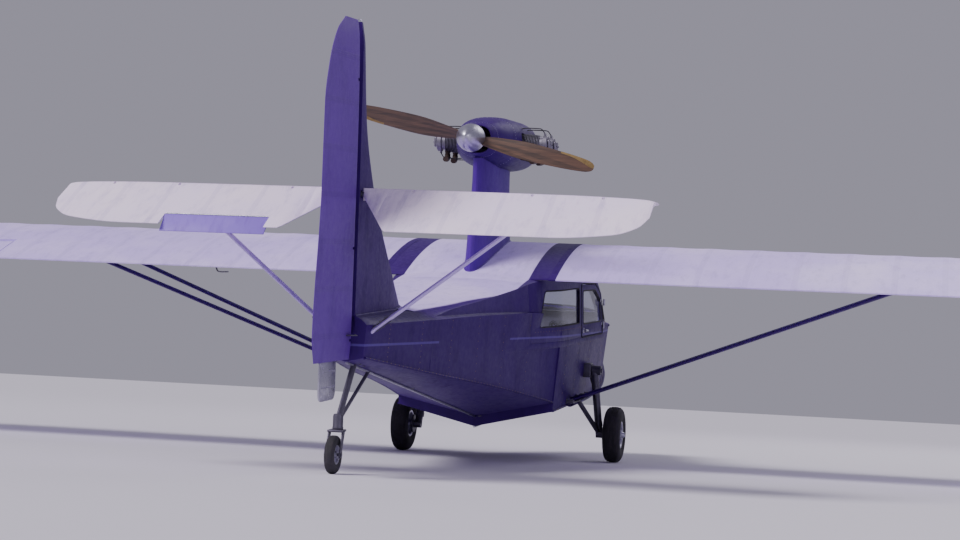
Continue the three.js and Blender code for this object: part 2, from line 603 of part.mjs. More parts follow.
// Propeller: hub, spinner and two twisted blades. Columns: radius, chord, thickness, pitch in degrees
const bladeStations = [
  [40, 62, 46, 44], [150, 96, 30, 36], [360, 128, 20, 24],
  [600, 112, 14, 17], [780, 82, 9, 14], [835, 46, 6, 13],
];
const bladeForm = loft(bladeStations.map(([r, chord, thick, pitch]) => {
  const a = THREE.MathUtils.degToRad(pitch);
  return Array.from({ length: 10 }, (_, i) => {
    const t = (i / 10) * Math.PI * 2;
    const [u, v] = [Math.cos(t) * chord / 2, Math.sin(t) * thick / 2];
    return [r, u * Math.sin(a) + v * Math.cos(a), u * Math.cos(a) - v * Math.sin(a)];
  });
}));
const hubProfile = [[0, 80], [70, 80], [70, 20], [92, 12], [86, -60], [60, -130], [26, -176], [0, -186]];
const hub = turned(hubProfile, 24, 'y', [0, 0, 0]);
const propeller = join(hub, bladeForm, bladeForm.rotate(0, 180, 0))
  .rotate(0, 12, 0).translate(0, engine.propY, engine.z);
piece('propeller', propeller, 'wood');

// Main wheels on tubular legs at the hull's sides
const tyreHalf = (radius, half, bead) => [
  [bead, half * 0.72], [bead + 14, half * 0.86], [(radius + bead) / 2, half],
  [radius - 18, half * 0.86], [radius - 4, half * 0.5],
];
const rimHalf = (bore, rim, half) => [
  [bore, half * 0.9], [bore + 22, half * 0.9], [bore + 24, half * 0.3],
  [rim - 16, half * 0.3], [rim - 12, half * 0.78], [rim, half * 0.78],
];
const bothSides = (halfProfile, ...crown) => [
  ...halfProfile.map(([r, x]) => [r, -x]), ...crown, ...halfProfile.toReversed()];
const tyreForm = (radius, half, bead, segments, centre) => turned(
  bothSides(tyreHalf(radius, half, bead + gap), [radius, 0]), segments, 'x', centre);
const rimForm = (bore, rim, half, segments, centre) => turned(
  bothSides(rimHalf(bore + gap, rim, half)), segments, 'x', centre);
for (const [name, side] of sides) {
  const centre = [side * wheel.x, wheel.y, wheel.z];
  const half = wheel.width / 2;
  piece(`main_tyre_${name}`, tyreForm(wheel.radius, half, wheel.rim, 24, centre), 'tyre');
  piece(`main_rim_${name}`, rimForm(wheel.axle, wheel.rim, half, 24, centre), 'aluminium');
  const at = (x, z = wheel.z, y = wheel.y) => [side * x, y, z];
  const [inside, outside] = [wheel.x - half, wheel.x + half];
  const knee = at(672);
  const leg = join(
    bar(at(618, 350), knee, 27), bar(at(600, 350), at(660, 350), 34),
    bar(at(520, 190, 860), knee, 17),
    bar(at(650), at(inside - 8), 30), bar(at(inside - 8), at(outside + 12), wheel.axle),
    bar(at(outside + 4), at(outside + 16), 24));
  const seats = shifted(join(outerForm, ...hullFittings), [side, 0, 0], [0, 1, 0], [0, -1, 0], [0, 0, 1], [0, 0, -1]);
  piece(`gear_leg_${name}`, cut(leg, ...seats), 'steel');
}

// Tail wheel: a raked leg under the stern, a castoring fork and a small wheel
const parkedAngle = THREE.MathUtils.degToRad(parkedPitch);
const groundLevel = wheel.z * Math.cos(parkedAngle) + wheel.y * Math.sin(parkedAngle) - wheel.radius;
const tailAxleZ = (groundLevel + tailWheel.radius - tailWheel.y * Math.sin(parkedAngle))
  / Math.cos(parkedAngle);
const crownZ = tailAxleZ + tailWheel.radius + 14;
const [housingLow, housingHigh] = [crownZ + 12 + gap, crownZ + 92];
const upright = (z0, z1, radius) => bar(
  [0, tailWheel.swivelY, z0], [0, tailWheel.swivelY, z1], radius, { segments: 20 });
const rake = bar(
  [0, -3000, 590], [0, tailWheel.swivelY, housingHigh - 25], 24, { depth: 15, up: [1, 0, 0], segments: 16 });
const stemTop = housingHigh - 12;
piece('tail_leg', cut(
  join(rake, upright(housingLow, housingHigh, 27)),
  upright(housingLow - 1, stemTop, tailWheel.stem + gap), outerForm.translate(0, 0, -gap)), 'steel');
const bladeX = tailWheel.width / 2 + 11;
const blades = [-bladeX, bladeX].map((x) => bar(
  [x, tailWheel.swivelY - 20, crownZ + 6], [x, tailWheel.y, tailAxleZ], 20,
  { depth: 4, up: [1, 0, 0], segments: 8 }));
piece('tail_fork', join(
  upright(crownZ + 6, stemTop - gap, tailWheel.stem),
  box(-bladeX - 4, bladeX + 4, tailWheel.swivelY - 60, tailWheel.swivelY + 24, crownZ, crownZ + 12),
  ...blades,
  bar([-bladeX - 10, tailWheel.y, tailAxleZ], [bladeX + 10, tailWheel.y, tailAxleZ], tailWheel.axle),
), 'steel');
const tailCentre = [0, tailWheel.y, tailAxleZ];
const tailHalf = tailWheel.width / 2;
piece('tail_tyre', tyreForm(tailWheel.radius, tailHalf, tailWheel.rim, 20, tailCentre), 'tyre');
piece('tail_rim', rimForm(tailWheel.axle, tailWheel.rim, tailHalf, 20, tailCentre), 'aluminium');

// The scene graph: one mesh a piece, in a group that sits nose up on its three wheels
const aircraft = new THREE.Group();
for (const { name, form, look } of pieces) {
  const { vertProperties, triVerts } = form.getMesh();
  const geometry = new THREE.BufferGeometry();
  geometry.setAttribute('position', new THREE.Float32BufferAttribute(vertProperties, 3));
  geometry.setIndex(Array.from(triVerts));
  geometry.computeVertexNormals();
  const mesh = new THREE.Mesh(geometry, new THREE.MeshStandardMaterial(finishes[look]));
  mesh.name = name;
  aircraft.add(mesh);
}
aircraft.rotation.x = parkedAngle;
const group = new THREE.Group();
group.add(aircraft);
group.updateMatrixWorld(true);
const bounds = new THREE.Box3().setFromObject(group, true);
aircraft.position.set(
  -(bounds.min.x + bounds.max.x) / 2, -(bounds.min.y + bounds.max.y) / 2, -bounds.min.z);

export default group;
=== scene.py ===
# Two-seat amphibian flying boat, parked on its wheels: finishes, fabric skins and small fittings
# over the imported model. Metres. Places are given in the aircraft's own frame (+Y forward, +X right,
# origin on the keel at the step) and turned into the parked frame by the matrix called parked.
import bisect
from math import atan, copysign, cos, pi, radians, sin, sqrt

import bmesh
import bpy
from mathutils import Matrix, Vector
from mathutils.bvhtree import BVHTree


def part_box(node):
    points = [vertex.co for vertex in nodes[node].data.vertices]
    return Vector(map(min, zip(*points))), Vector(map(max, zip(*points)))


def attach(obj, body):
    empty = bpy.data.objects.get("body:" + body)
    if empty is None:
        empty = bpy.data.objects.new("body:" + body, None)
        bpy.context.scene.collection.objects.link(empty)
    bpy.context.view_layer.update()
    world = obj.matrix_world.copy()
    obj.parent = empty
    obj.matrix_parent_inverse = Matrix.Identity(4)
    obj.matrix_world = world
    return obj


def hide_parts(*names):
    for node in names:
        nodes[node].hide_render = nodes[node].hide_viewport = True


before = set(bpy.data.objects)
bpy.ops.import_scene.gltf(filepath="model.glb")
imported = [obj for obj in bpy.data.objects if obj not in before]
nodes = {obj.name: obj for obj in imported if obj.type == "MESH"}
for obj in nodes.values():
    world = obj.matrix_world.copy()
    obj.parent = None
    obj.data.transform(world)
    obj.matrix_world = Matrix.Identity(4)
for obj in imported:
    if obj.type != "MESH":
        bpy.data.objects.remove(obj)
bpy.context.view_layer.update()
print("frame loaded:", len(nodes), "nodes")

sides = {"left": -1, "right": 1}
pitch = radians(4)
mainAxle = Vector((0.78, 1.15, -0.105))


def boxCentre(node):
    low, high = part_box(node)
    return (low + high) / 2


turn = Matrix.Rotation(pitch, 4, "X")
parked = Matrix.Translation(boxCentre("main_tyre_right") - turn @ mainAxle) @ turn
unparked = parked.inverted()


# Mesh helpers

def newObject(name, data):
    obj = bpy.data.objects.new(name, data)
    bpy.context.scene.collection.objects.link(obj)
    return obj


def meshFrom(verts, faces):
    mesh = bpy.data.meshes.new("shape")
    mesh.from_pydata([tuple(v) for v in verts], [], faces)
    mesh.update()
    return mesh


def facedOut(mesh):
    bm = bmesh.new()
    bm.from_mesh(mesh)
    bmesh.ops.remove_doubles(bm, verts=bm.verts, dist=1e-6)
    bmesh.ops.recalc_face_normals(bm, faces=bm.faces)
    bm.to_mesh(mesh)
    bm.free()
    return mesh


def anglesRound(count):
    return [2 * pi * k / count for k in range(count)]


def lofted(rings, capped=True):
    count = len(rings[0])
    verts = [point for ring in rings for point in ring]
    faces = []
    for start in range(0, (len(rings) - 1) * count, count):
        for i in range(count):
            j = (i + 1) % count
            faces.append((start + i, start + j, start + count + j, start + count + i))
    if capped:
        faces += [tuple(range(count)), tuple(range(len(verts) - count, len(verts)))]
    return facedOut(meshFrom(verts, faces))


def boxed(corner, opposite):
    xs, ys, zs = (sorted(pair) for pair in zip(corner, opposite))
    verts = [(x, y, z) for z in zs for y in ys for x in xs]
    faces = [(0, 2, 3, 1), (4, 5, 7, 6), (0, 1, 5, 4), (2, 6, 7, 3), (0, 4, 6, 2), (1, 3, 7, 5)]
    return facedOut(meshFrom(verts, faces))


def basisAlong(start, end, up=(0, 0, 1)):
    along = (Vector(end) - Vector(start)).normalized()
    across = Vector(up).cross(along)
    if across.length < 1e-3:
        across = Vector((1, 0, 0)).cross(along)
    across.normalize()
    return Matrix((across, along.cross(across), along)).transposed().to_4x4()


def tubed(path, radius, sections, flat=1.0):
    curve = [Vector(p) for p in path]
    rings = []
    for i, point in enumerate(curve):
        basis = basisAlong(curve[max(i - 1, 0)], curve[min(i + 1, len(curve) - 1)])
        size = radius[i] if isinstance(radius, (list, tuple)) else radius
        rings.append([point + basis @ Vector((size * cos(a), size * flat * sin(a), 0))
                      for a in anglesRound(sections)])
    return lofted(rings)


# A closed tube round a loop of points
def looped(path, radius, sections=8):
    points = [Vector(p) for p in path]
    rings = []
    for i, point in enumerate(points):
        basis = basisAlong(points[i - 1], points[(i + 1) % len(points)])
        rings.append([point + basis @ Vector((radius * cos(a), radius * sin(a), 0))
                      for a in anglesRound(sections)])
    return lofted(rings + [rings[0]], capped=False)


# A profile of radius and height turned about an axis
def turnedAbout(profile, centre, axis, sections):
    basis = basisAlong((0, 0, 0), axis)
    rings = [[Vector(centre) + basis @ Vector((r * cos(a), r * sin(a), d)) for r, d in profile]
             for a in anglesRound(sections)]
    return lofted(rings + [rings[0]], capped=False)


def disc(radius, low, high, centre, axis, sections):
    profile = [(0.0, low), (radius, low), (radius, high), (0.0, high)]
    return turnedAbout(profile, centre, axis, sections)


def joined(meshes):
    bm = bmesh.new()
    for mesh in meshes:
        bm.from_mesh(mesh)
    mesh = bpy.data.meshes.new("shape")
    bm.to_mesh(mesh)
    bm.free()
    return mesh


def applied(obj):
    graph = bpy.context.evaluated_depsgraph_get()
    mesh = bpy.data.meshes.new_from_object(obj.evaluated_get(graph))
    obj.modifiers.clear()
    obj.data = mesh
    return obj


def combined(mesh, *steps):
    body = newObject("working", mesh)
    helpers = []
    for operation, part in steps:
        helper = newObject("helper", part)
        modifier = body.modifiers.new("solid", "BOOLEAN")
        modifier.operation = operation
        modifier.object = helper
        modifier.solver = "EXACT"
        helpers.append(helper)
    bpy.context.view_layer.update()
    result = applied(body).data
    for helper in helpers + [body]:
        bpy.data.objects.remove(helper)
    return result


def carved(mesh, *parts):
    return combined(mesh, *[("DIFFERENCE", part) for part in parts])


def eased(mesh, width=0.0018, segments=2, angle=35):
    obj = newObject("working", mesh)
    bm = bmesh.new()
    bm.from_mesh(mesh)
    bmesh.ops.remove_doubles(bm, verts=bm.verts, dist=2e-5)
    bmesh.ops.dissolve_limit(bm, angle_limit=radians(0.4), verts=bm.verts, edges=bm.edges)
    bm.to_mesh(mesh)
    bm.free()
    bevel = obj.modifiers.new("edge", "BEVEL")
    bevel.width = width
    bevel.segments = segments
    bevel.limit_method = "ANGLE"
    bevel.angle_limit = radians(angle)
    bevel.use_clamp_overlap = False
    bevel.miter_outer = "MITER_SHARP"
    result = applied(obj).data
    bpy.data.objects.remove(obj)
    return result


def block(corner, opposite, width, segments=2):
    return eased(boxed(corner, opposite), width, segments)


# Points of the right side, given for the side asked for
def sided(side, points):
    return [(side * x, y, z) for x, y, z in points]


def smoothed(mesh, degrees):
    mesh.shade_smooth()
    mesh.set_sharp_from_angle(angle=radians(degrees))
    return mesh


def placed(name, mesh, paint, replaces=None, slot=None, body="airframe", smooth=32):
    mesh.transform(parked)
    mesh.name = name
    smoothed(mesh, smooth)
    mesh.materials.clear()
    mesh.materials.append(paints[paint])
    obj = newObject(name, mesh)
    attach(obj, body)
    if replaces:
        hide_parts(replaces)
    return obj


# Node helpers. An input is either another node's output, which is linked, or a plain value

def fill(tree, node, inputs):
    for key, value in inputs.items():
        if isinstance(value, bpy.types.NodeSocket):
            tree.links.new(value, node.inputs[key])
        else:
            node.inputs[key].default_value = value


def addNode(tree, kind, inputs, **settings):
    node = tree.nodes.new(kind)
    for key, value in settings.items():
        setattr(node, key, value)
    fill(tree, node, inputs)
    return node


def mathNode(tree, operation, *values, clamp=False):
    inputs = dict(enumerate(values))
    return addNode(tree, "ShaderNodeMath", inputs, operation=operation, use_clamp=clamp).outputs[0]


def times(tree, a, b):
    return mathNode(tree, "MULTIPLY", a, b)


def mixColour(tree, factor, a, b):
    return addNode(tree, "ShaderNodeMix", {0: factor, 6: a, 7: b}, data_type="RGBA").outputs[2]


def rangeNode(tree, value, fromLow, fromHigh, toLow=0.0, toHigh=1.0, smooth=False):
    return addNode(tree, "ShaderNodeMapRange", {
        "Value": value, "From Min": fromLow, "From Max": fromHigh, "To Min": toLow, "To Max": toHigh},
        interpolation_type="SMOOTHSTEP" if smooth else "LINEAR").outputs["Result"]


def noiseNode(tree, vector, scale, detail, roughness=0.5, distortion=0.0):
    return addNode(tree, "ShaderNodeTexNoise", {
        "Vector": vector, "Scale": scale, "Detail": detail, "Roughness": roughness,
        "Distortion": distortion}).outputs["Fac"]


def scaledBy(tree, vector, scale):
    return addNode(tree, "ShaderNodeMapping", {"Vector": vector, "Scale": scale}).outputs["Vector"]


def splitAxes(tree, vector):
    return addNode(tree, "ShaderNodeSeparateXYZ", {"Vector": vector}).outputs


# Rows of sockets: label, kind and the default where there is one
def newGroup(name, inputs, outputs, kind="ShaderNodeTree"):
    group = bpy.data.node_groups.new(name, kind)
    for label, socketKind, *default in inputs:
        socket = group.interface.new_socket(label, in_out="INPUT", socket_type="NodeSocket" + socketKind)
        if default:
            socket.default_value = default[0]
    for label, socketKind in outputs:
        group.interface.new_socket(label, in_out="OUTPUT", socket_type="NodeSocket" + socketKind)
    return group, group.nodes.new("NodeGroupInput").outputs, group.nodes.new("NodeGroupOutput")


def useGroup(tree, group, inputs):
    return addNode(tree, "ShaderNodeGroup", inputs, node_tree=group).outputs


def srgb(red, green, blue):
    def linear(v):
        v /= 255
        return v / 12.92 if v <= 0.04045 else ((v + 0.055) / 1.055) ** 2.4
    return (linear(red), linear(green), linear(blue), 1.0)


# Shared effects: weathering, fabric, plywood and metal

def makeWeather():
    group, given, result = newGroup("weather", [
        ("Vector", "Vector"), ("Colour", "Color"), ("Faded", "Color"), ("Dirt", "Color"),
        ("Fade Amount", "Float", 0.3), ("Dirt Amount", "Float", 0.3), ("Roughness", "Float", 0.5),
        ("Scale", "Float", 1.0)], [("Colour", "Color"), ("Roughness", "Float"), ("Height", "Float")])
    where, scale = given["Vector"], given["Scale"]
    broad = noiseNode(group, where, scale, 5.0, 0.6)
    fine = noiseNode(group, where, times(group, scale, 22.0), 4.0, 0.65)
    stain = noiseNode(group, scaledBy(group, where, (3.2, 1.1, 0.45)), times(group, scale, 4.0), 6.0, 0.7)
    fade = times(group, rangeNode(group, broad, 0.42, 0.68), given["Fade Amount"])
    colour = mixColour(group, fade, given["Colour"], given["Faded"])
    dirty = times(group, rangeNode(group, stain, 0.5, 0.78), given["Dirt Amount"])
    rough = mathNode(group, "ADD", given["Roughness"], rangeNode(group, fine, 0.3, 0.7, -0.07, 0.09))
    rough = mathNode(group, "ADD", rough, times(group, dirty, 0.25), clamp=True)
    fill(group, result, {
        "Colour": mixColour(group, dirty, colour, given["Dirt"]), "Roughness": rough, "Height": fine})
    return group


def makeRibs():
    group, given, result = newGroup("ribTapes", [
        ("Position", "Float", 0.0), ("Spacing", "Float", 0.3), ("Width", "Float", 0.03)],
        [("Tape", "Float"), ("Height", "Float")])
    bay = mathNode(group, "DIVIDE", given["Position"], given["Spacing"])
    offset = mathNode(group, "ABSOLUTE", mathNode(group, "SUBTRACT", bay, mathNode(group, "ROUND", bay)))
    distance = times(group, offset, given["Spacing"])
    half = times(group, given["Width"], 0.5)
    tape = rangeNode(group, distance, half, mathNode(group, "ADD", half, 0.0025), 1.0, 0.0, smooth=True)
    stitch = rangeNode(group, distance, 0.0, 0.004, 1.0, 0.0, smooth=True)
    fill(group, result, {"Tape": tape, "Height": mathNode(group, "ADD", tape, times(group, stitch, 0.8))})
    return group


def makeWeave():
    group, given, result = newGroup("weave", [
        ("Vector", "Vector"), ("Scale", "Float", 500.0)], [("Height", "Float")])
    bands = [addNode(group, "ShaderNodeTexWave", {
        "Vector": given["Vector"], "Scale": given["Scale"], "Distortion": 0.4},
        bands_direction=axis).outputs["Fac"] for axis in ("X", "Y")]
    fill(group, result, {"Height": times(group, *bands)})
    return group


def makeGrain():
    group, given, result = newGroup("grain", [
        ("Vector", "Vector"), ("Light", "Color"), ("Dark", "Color"), ("Scale", "Float", 12.0),
        ("Stretch", "Vector", (1.0, 0.08, 1.0)), ("Layers", "Float", 0.0)],
        [("Colour", "Color"), ("Height", "Float")])
    stretched = scaledBy(group, given["Vector"], given["Stretch"])
    lines = noiseNode(group, stretched, given["Scale"], 8.0, 0.62, 0.6)
    depth = times(group, splitAxes(group, given["Vector"])["Y"], 58.0)
    layers = mathNode(group, "GREATER_THAN", mathNode(group, "FRACT", depth), 0.5)
    mask = mathNode(group, "ADD", rangeNode(group, lines, 0.32, 0.68, 0.0, 0.8),
                    times(group, layers, given["Layers"]), clamp=True)
    fill(group, result, {"Colour": mixColour(group, mask, given["Light"], given["Dark"]), "Height": lines})
    return group


def makeBrushed():
    group, given, result = newGroup("brushed", [
        ("Vector", "Vector"), ("Colour", "Color"), ("Roughness", "Float", 0.35)],
        [("Colour", "Color"), ("Roughness", "Float"), ("Height", "Float")])
    spots = noiseNode(group, given["Vector"], 38.0, 6.0, 0.7)
    dark = times(group, rangeNode(group, spots, 0.4, 0.75), 0.3)
    fill(group, result, {
        "Colour": mixColour(group, dark, given["Colour"], srgb(52, 46, 58)),
        "Roughness": mathNode(group, "ADD", given["Roughness"],
                              rangeNode(group, spots, 0.3, 0.7, -0.1, 0.16), clamp=True),
        "Height": noiseNode(group, scaledBy(group, given["Vector"], (40.0, 900.0, 40.0)), 1.0, 2.0)})
    return group


weather = makeWeather()
ribTapes = makeRibs()
weave = makeWeave()
grain = makeGrain()
brushed = makeBrushed()


def newMaterial(name):
    material = bpy.data.materials.new(name)
    material.use_nodes = True
    tree = material.node_tree
    where = tree.nodes.new("ShaderNodeTexCoord").outputs["Object"]
    return material, tree, tree.nodes["Principled BSDF"], where


def aircraftPlace(tree, where):
    return splitAxes(tree, addNode(tree, "ShaderNodeMapping", {
        "Vector": where, "Location": parked.to_translation(), "Rotation": (pitch, 0.0, 0.0)},
        vector_type="TEXTURE").outputs["Vector"])


# Three colours, painted, faded and dirty, with how far each takes over
def aged(tree, where, colours, fade, dirt, roughness, scale):
    return useGroup(tree, weather, {
        "Vector": where, **dict(zip(("Colour", "Faded", "Dirt"), colours)), "Fade Amount": fade,
        "Dirt Amount": dirt, "Roughness": roughness, "Scale": scale})


def bumped(tree, shader, height, strength, distance):
    bump = addNode(tree, "ShaderNodeBump", {"Height": height, "Strength": strength, "Distance": distance})
    fill(tree, shader, {"Normal": bump.outputs["Normal"]})


finishes = {
    "hull": srgb(50, 12, 98),
    "hullFaded": srgb(62, 26, 114),
    "hullDirt": srgb(30, 8, 56),
    "stripe": srgb(106, 86, 172),
    "lining": srgb(128, 120, 146),
    "bottom": srgb(80, 54, 126),
    # Wing: the same pale paint as the tailplane, made darker and more violet; that difference is painted
    # shade
    "wing": srgb(200, 178, 244),
    "wingFaded": srgb(228, 212, 253),
    "wingDirt": srgb(136, 118, 180),
    # Tailplane: the pale paint without the wing's painted shade
    "tailplane": srgb(246, 229, 253),
    # Rudder: lighter and more violet than the fin's dark paint; the difference is a painted glow of
    # sunlight through the fabric
    "rudder": srgb(86, 38, 146),
    "rudderFaded": srgb(100, 56, 164),
    # Pylon: mid violet, pale paint darkened as painted shade
    "pylon": srgb(74, 28, 138),
    # Trim tab: the elevators' pale paint, darkened and made more violet as painted shade
    "tab": srgb(138, 110, 206),
}
coats = {
    "ply": {"Specular IOR Level": 0.14, "Coat Weight": 0.03, "Coat Roughness": 0.2},
    "fabric": {"Specular IOR Level": 0.35, "Coat Weight": 0.06, "Coat Roughness": 0.3},
}


def named(*keys):
    return [finishes[key] for key in keys]


def worked(tree, shader, surface, **coat):
    fill(tree, shader, {"Base Color": surface["Colour"], "Roughness": surface["Roughness"], **coat})


def ply(name, colours, roughness=0.5):
    material, tree, shader, where = newMaterial(name)
    wood = useGroup(tree, grain, {"Vector": where, "Light": colours[1], "Dark": colours[2], "Scale": 60.0})
    worked(tree, shader, aged(tree, where, colours, 0.45, 0.5, roughness, 1.6), **coats["ply"])
    bumped(tree, shader, wood["Height"], 0.12, 0.0005)
    return material


# Masks on the hull, in the aircraft's own frame: stripe, pale top and the lining inside the cabin
hullStripe = {
    "rear": (-3.2, 0.674), "front": (1.5, 0.61), "halfWidth": 0.005, "edge": 0.003,
    "bareFrom": -2.19, "bareTo": -0.98, "strength": 0.55,
}
paleTop = {"halfWidth": 0.42, "front": 1.08, "rear": -2.29, "low": 0.992, "rise": 0.07, "edge": 0.004}
cabinRoom = {"halfWidth": 0.558, "front": 2.17, "rear": -0.59, "low": 0.62, "edge": 0.001}


# Narrows a mask to one box: each row is a value, its limit and the soft edge's width and direction
def within(tree, mask, rows):
    for value, limit, edge in rows:
        mask = times(tree, mask, rangeNode(tree, value, limit, limit + edge))
    return mask


def stripeMask(tree, along, height):
    (y0, z0), (y1, z1) = hullStripe["rear"], hullStripe["front"]
    slope = (z1 - z0) / (y1 - y0)
    line = mathNode(tree, "ADD", times(tree, along, slope), z0 - y0 * slope)
    off = mathNode(tree, "ABSOLUTE", mathNode(tree, "SUBTRACT", height, line))
    half = hullStripe["halfWidth"]
    band = rangeNode(tree, off, half, half + hullStripe["edge"], 1.0, 0.0)
    beforeBare = mathNode(tree, "LESS_THAN", along, hullStripe["bareFrom"])
    afterBare = mathNode(tree, "GREATER_THAN", along, hullStripe["bareTo"])
    return times(tree, times(tree, band, mathNode(tree, "ADD", beforeBare, afterBare)),
                 hullStripe["strength"])


def hullMaterial():
    material, tree, shader, where = newMaterial("hull paint")
    across, along, height = aircraftPlace(tree, where)
    outward = mathNode(tree, "ABSOLUTE", across)
    facing = splitAxes(tree, tree.nodes.new("ShaderNodeNewGeometry").outputs["Normal"])
    dark = aged(tree, where, named("hull", "hullFaded", "hullDirt"), 0.35, 0.4, 0.5, 1.5)
    bottom = aged(tree, where, named("bottom", "hullFaded", "hull"), 0.5, 0.6, 0.5, 1.5)
    # The pale top takes the wing's colours, painted shade included
    light = aged(tree, where, named("wing", "wingFaded", "wingDirt"), 0.6, 0.45, 0.45, 1.5)
    below = rangeNode(tree, facing["Z"], -0.35, -0.5)
    colour = mixColour(tree, below, dark["Colour"], bottom["Colour"])
    colour = mixColour(tree, stripeMask(tree, along, height), colour, finishes["stripe"])
    deck = paleTop
    level = mathNode(tree, "SUBTRACT", height, times(tree, along, deck["rise"]))
    top = within(tree, rangeNode(tree, facing["Z"], 0.5, 0.56), [
        (outward, deck["halfWidth"], -deck["edge"]), (along, deck["front"], -deck["edge"]),
        (along, deck["rear"], deck["edge"]), (level, deck["low"], deck["edge"])])
    colour = mixColour(tree, top, colour, light["Colour"])
    room = cabinRoom
    turnedIn = rangeNode(tree, times(tree, across, facing["X"]), -0.02, -0.03)
    ceiling = times(tree, rangeNode(tree, facing["Z"], -0.3, -0.35),
                    rangeNode(tree, height, room["low"], room["low"] + 0.002))
    inside = within(tree, mathNode(tree, "MAXIMUM", turnedIn, ceiling), [
        (along, room["rear"], room["edge"]), (along, room["front"], -room["edge"]),
        (outward, room["halfWidth"], -room["edge"])])
    colour = mixColour(tree, inside, colour, finishes["lining"])
    wood = useGroup(tree, grain, {
        "Vector": where, "Light": finishes["hull"], "Dark": finishes["hullDirt"], "Scale": 60.0})
    fill(tree, shader, {"Base Color": colour, "Roughness": dark["Roughness"], **coats["ply"]})
    bumped(tree, shader, wood["Height"], 0.12, 0.0005)
    return material


def fabric(name, colours, axis, spacing, origin, tape):
    material, tree, shader, where = newMaterial(name)
    position = mathNode(tree, "SUBTRACT", aircraftPlace(tree, where)[axis], origin)
    worn = aged(tree, where, colours, 0.6, 0.4, 0.5, 1.3)
    ribs = useGroup(tree, ribTapes, {"Position": position, "Spacing": spacing, "Width": tape})
    cloth = useGroup(tree, weave, {"Vector": where, "Scale": 320.0})
    colour = mixColour(tree, times(tree, ribs["Tape"], 0.13), worn["Colour"], colours[2])
    height = mathNode(tree, "ADD", times(tree, ribs["Height"], 0.8), times(tree, cloth["Height"], 0.12))
    fill(tree, shader, {"Base Color": colour, "Roughness": worn["Roughness"], **coats["fabric"]})
    bumped(tree, shader, height, 0.6, 0.0009)
    return material


def metal(name, colour, roughness, metallic=1.0):
    material, tree, shader, where = newMaterial(name)
    sheet = useGroup(tree, brushed, {"Vector": where, "Colour": colour, "Roughness": roughness})
    worked(tree, shader, sheet, Metallic=metallic)
    bumped(tree, shader, sheet["Height"], 0.12, 0.0003)
    return material


def timber(name, light, dark, scale, coat, stretch, layers):
    material, tree, shader, where = newMaterial(name)
    wood = useGroup(tree, grain, {
        "Vector": where, "Light": light, "Dark": dark,
        "Scale": scale, "Stretch": stretch, "Layers": layers})
    fill(tree, shader, {
        "Base Color": wood["Colour"], "Roughness": 0.42, "Coat Weight": coat, "Coat Roughness": 0.15})
    bumped(tree, shader, wood["Height"], 0.2, 0.0005)
    return material


def rubber(name):
    material, tree, shader, where = newMaterial(name)
    worn = aged(tree, where, (srgb(30, 28, 34), srgb(56, 52, 62), srgb(86, 78, 84)), 0.7, 0.5, 0.82, 6.0)
    worked(tree, shader, worn)
    bumped(tree, shader, worn["Height"], 0.35, 0.0008)
    return material


def leather(name, colour, faded, roughness):
    material, tree, shader, where = newMaterial(name)
    worked(tree, shader, aged(tree, where, (colour, faded, srgb(38, 28, 28)), 0.6, 0.4, roughness, 5.0))
    pores = addNode(tree, "ShaderNodeTexVoronoi", {"Vector": where, "Scale": 230.0},
                    feature="DISTANCE_TO_EDGE")
    bumped(tree, shader, rangeNode(tree, pores.outputs["Distance"], 0.0, 0.12), 0.4, 0.0006)
    return material


def plain(name, colour, roughness, transmission=0.0):
    material, tree, shader, where = newMaterial(name)
    dust = noiseNode(tree, where, 60.0, 4.0)
    fill(tree, shader, {
        "Base Color": colour, "Transmission Weight": transmission,
        "Roughness": rangeNode(tree, dust, 0.3, 0.7, roughness, roughness + 0.1)})
    return material


# Acrylic sheet that lets the light into the cabin: shadow rays pass it
def clearPane(name):
    material, tree, shader, where = newMaterial(name)
    dust = noiseNode(tree, where, 3.0, 6.0, 0.6)
    fill(tree, shader, {
        "Base Color": srgb(236, 238, 248), "Roughness": rangeNode(tree, dust, 0.45, 0.75, 0.0, 0.035),
        "Transmission Weight": 1.0, "IOR": 1.18})
    passing = addNode(tree, "ShaderNodeBsdfTransparent", {"Color": srgb(230, 232, 244)})
    path = tree.nodes.new("ShaderNodeLightPath")
    mixed = addNode(tree, "ShaderNodeMixShader", {
        0: path.outputs["Is Shadow Ray"], 1: shader.outputs["BSDF"], 2: passing.outputs["BSDF"]})
    ending = next(node for node in tree.nodes if node.type == "OUTPUT_MATERIAL")
    tree.links.new(mixed.outputs["Shader"], ending.inputs["Surface"])
    return material
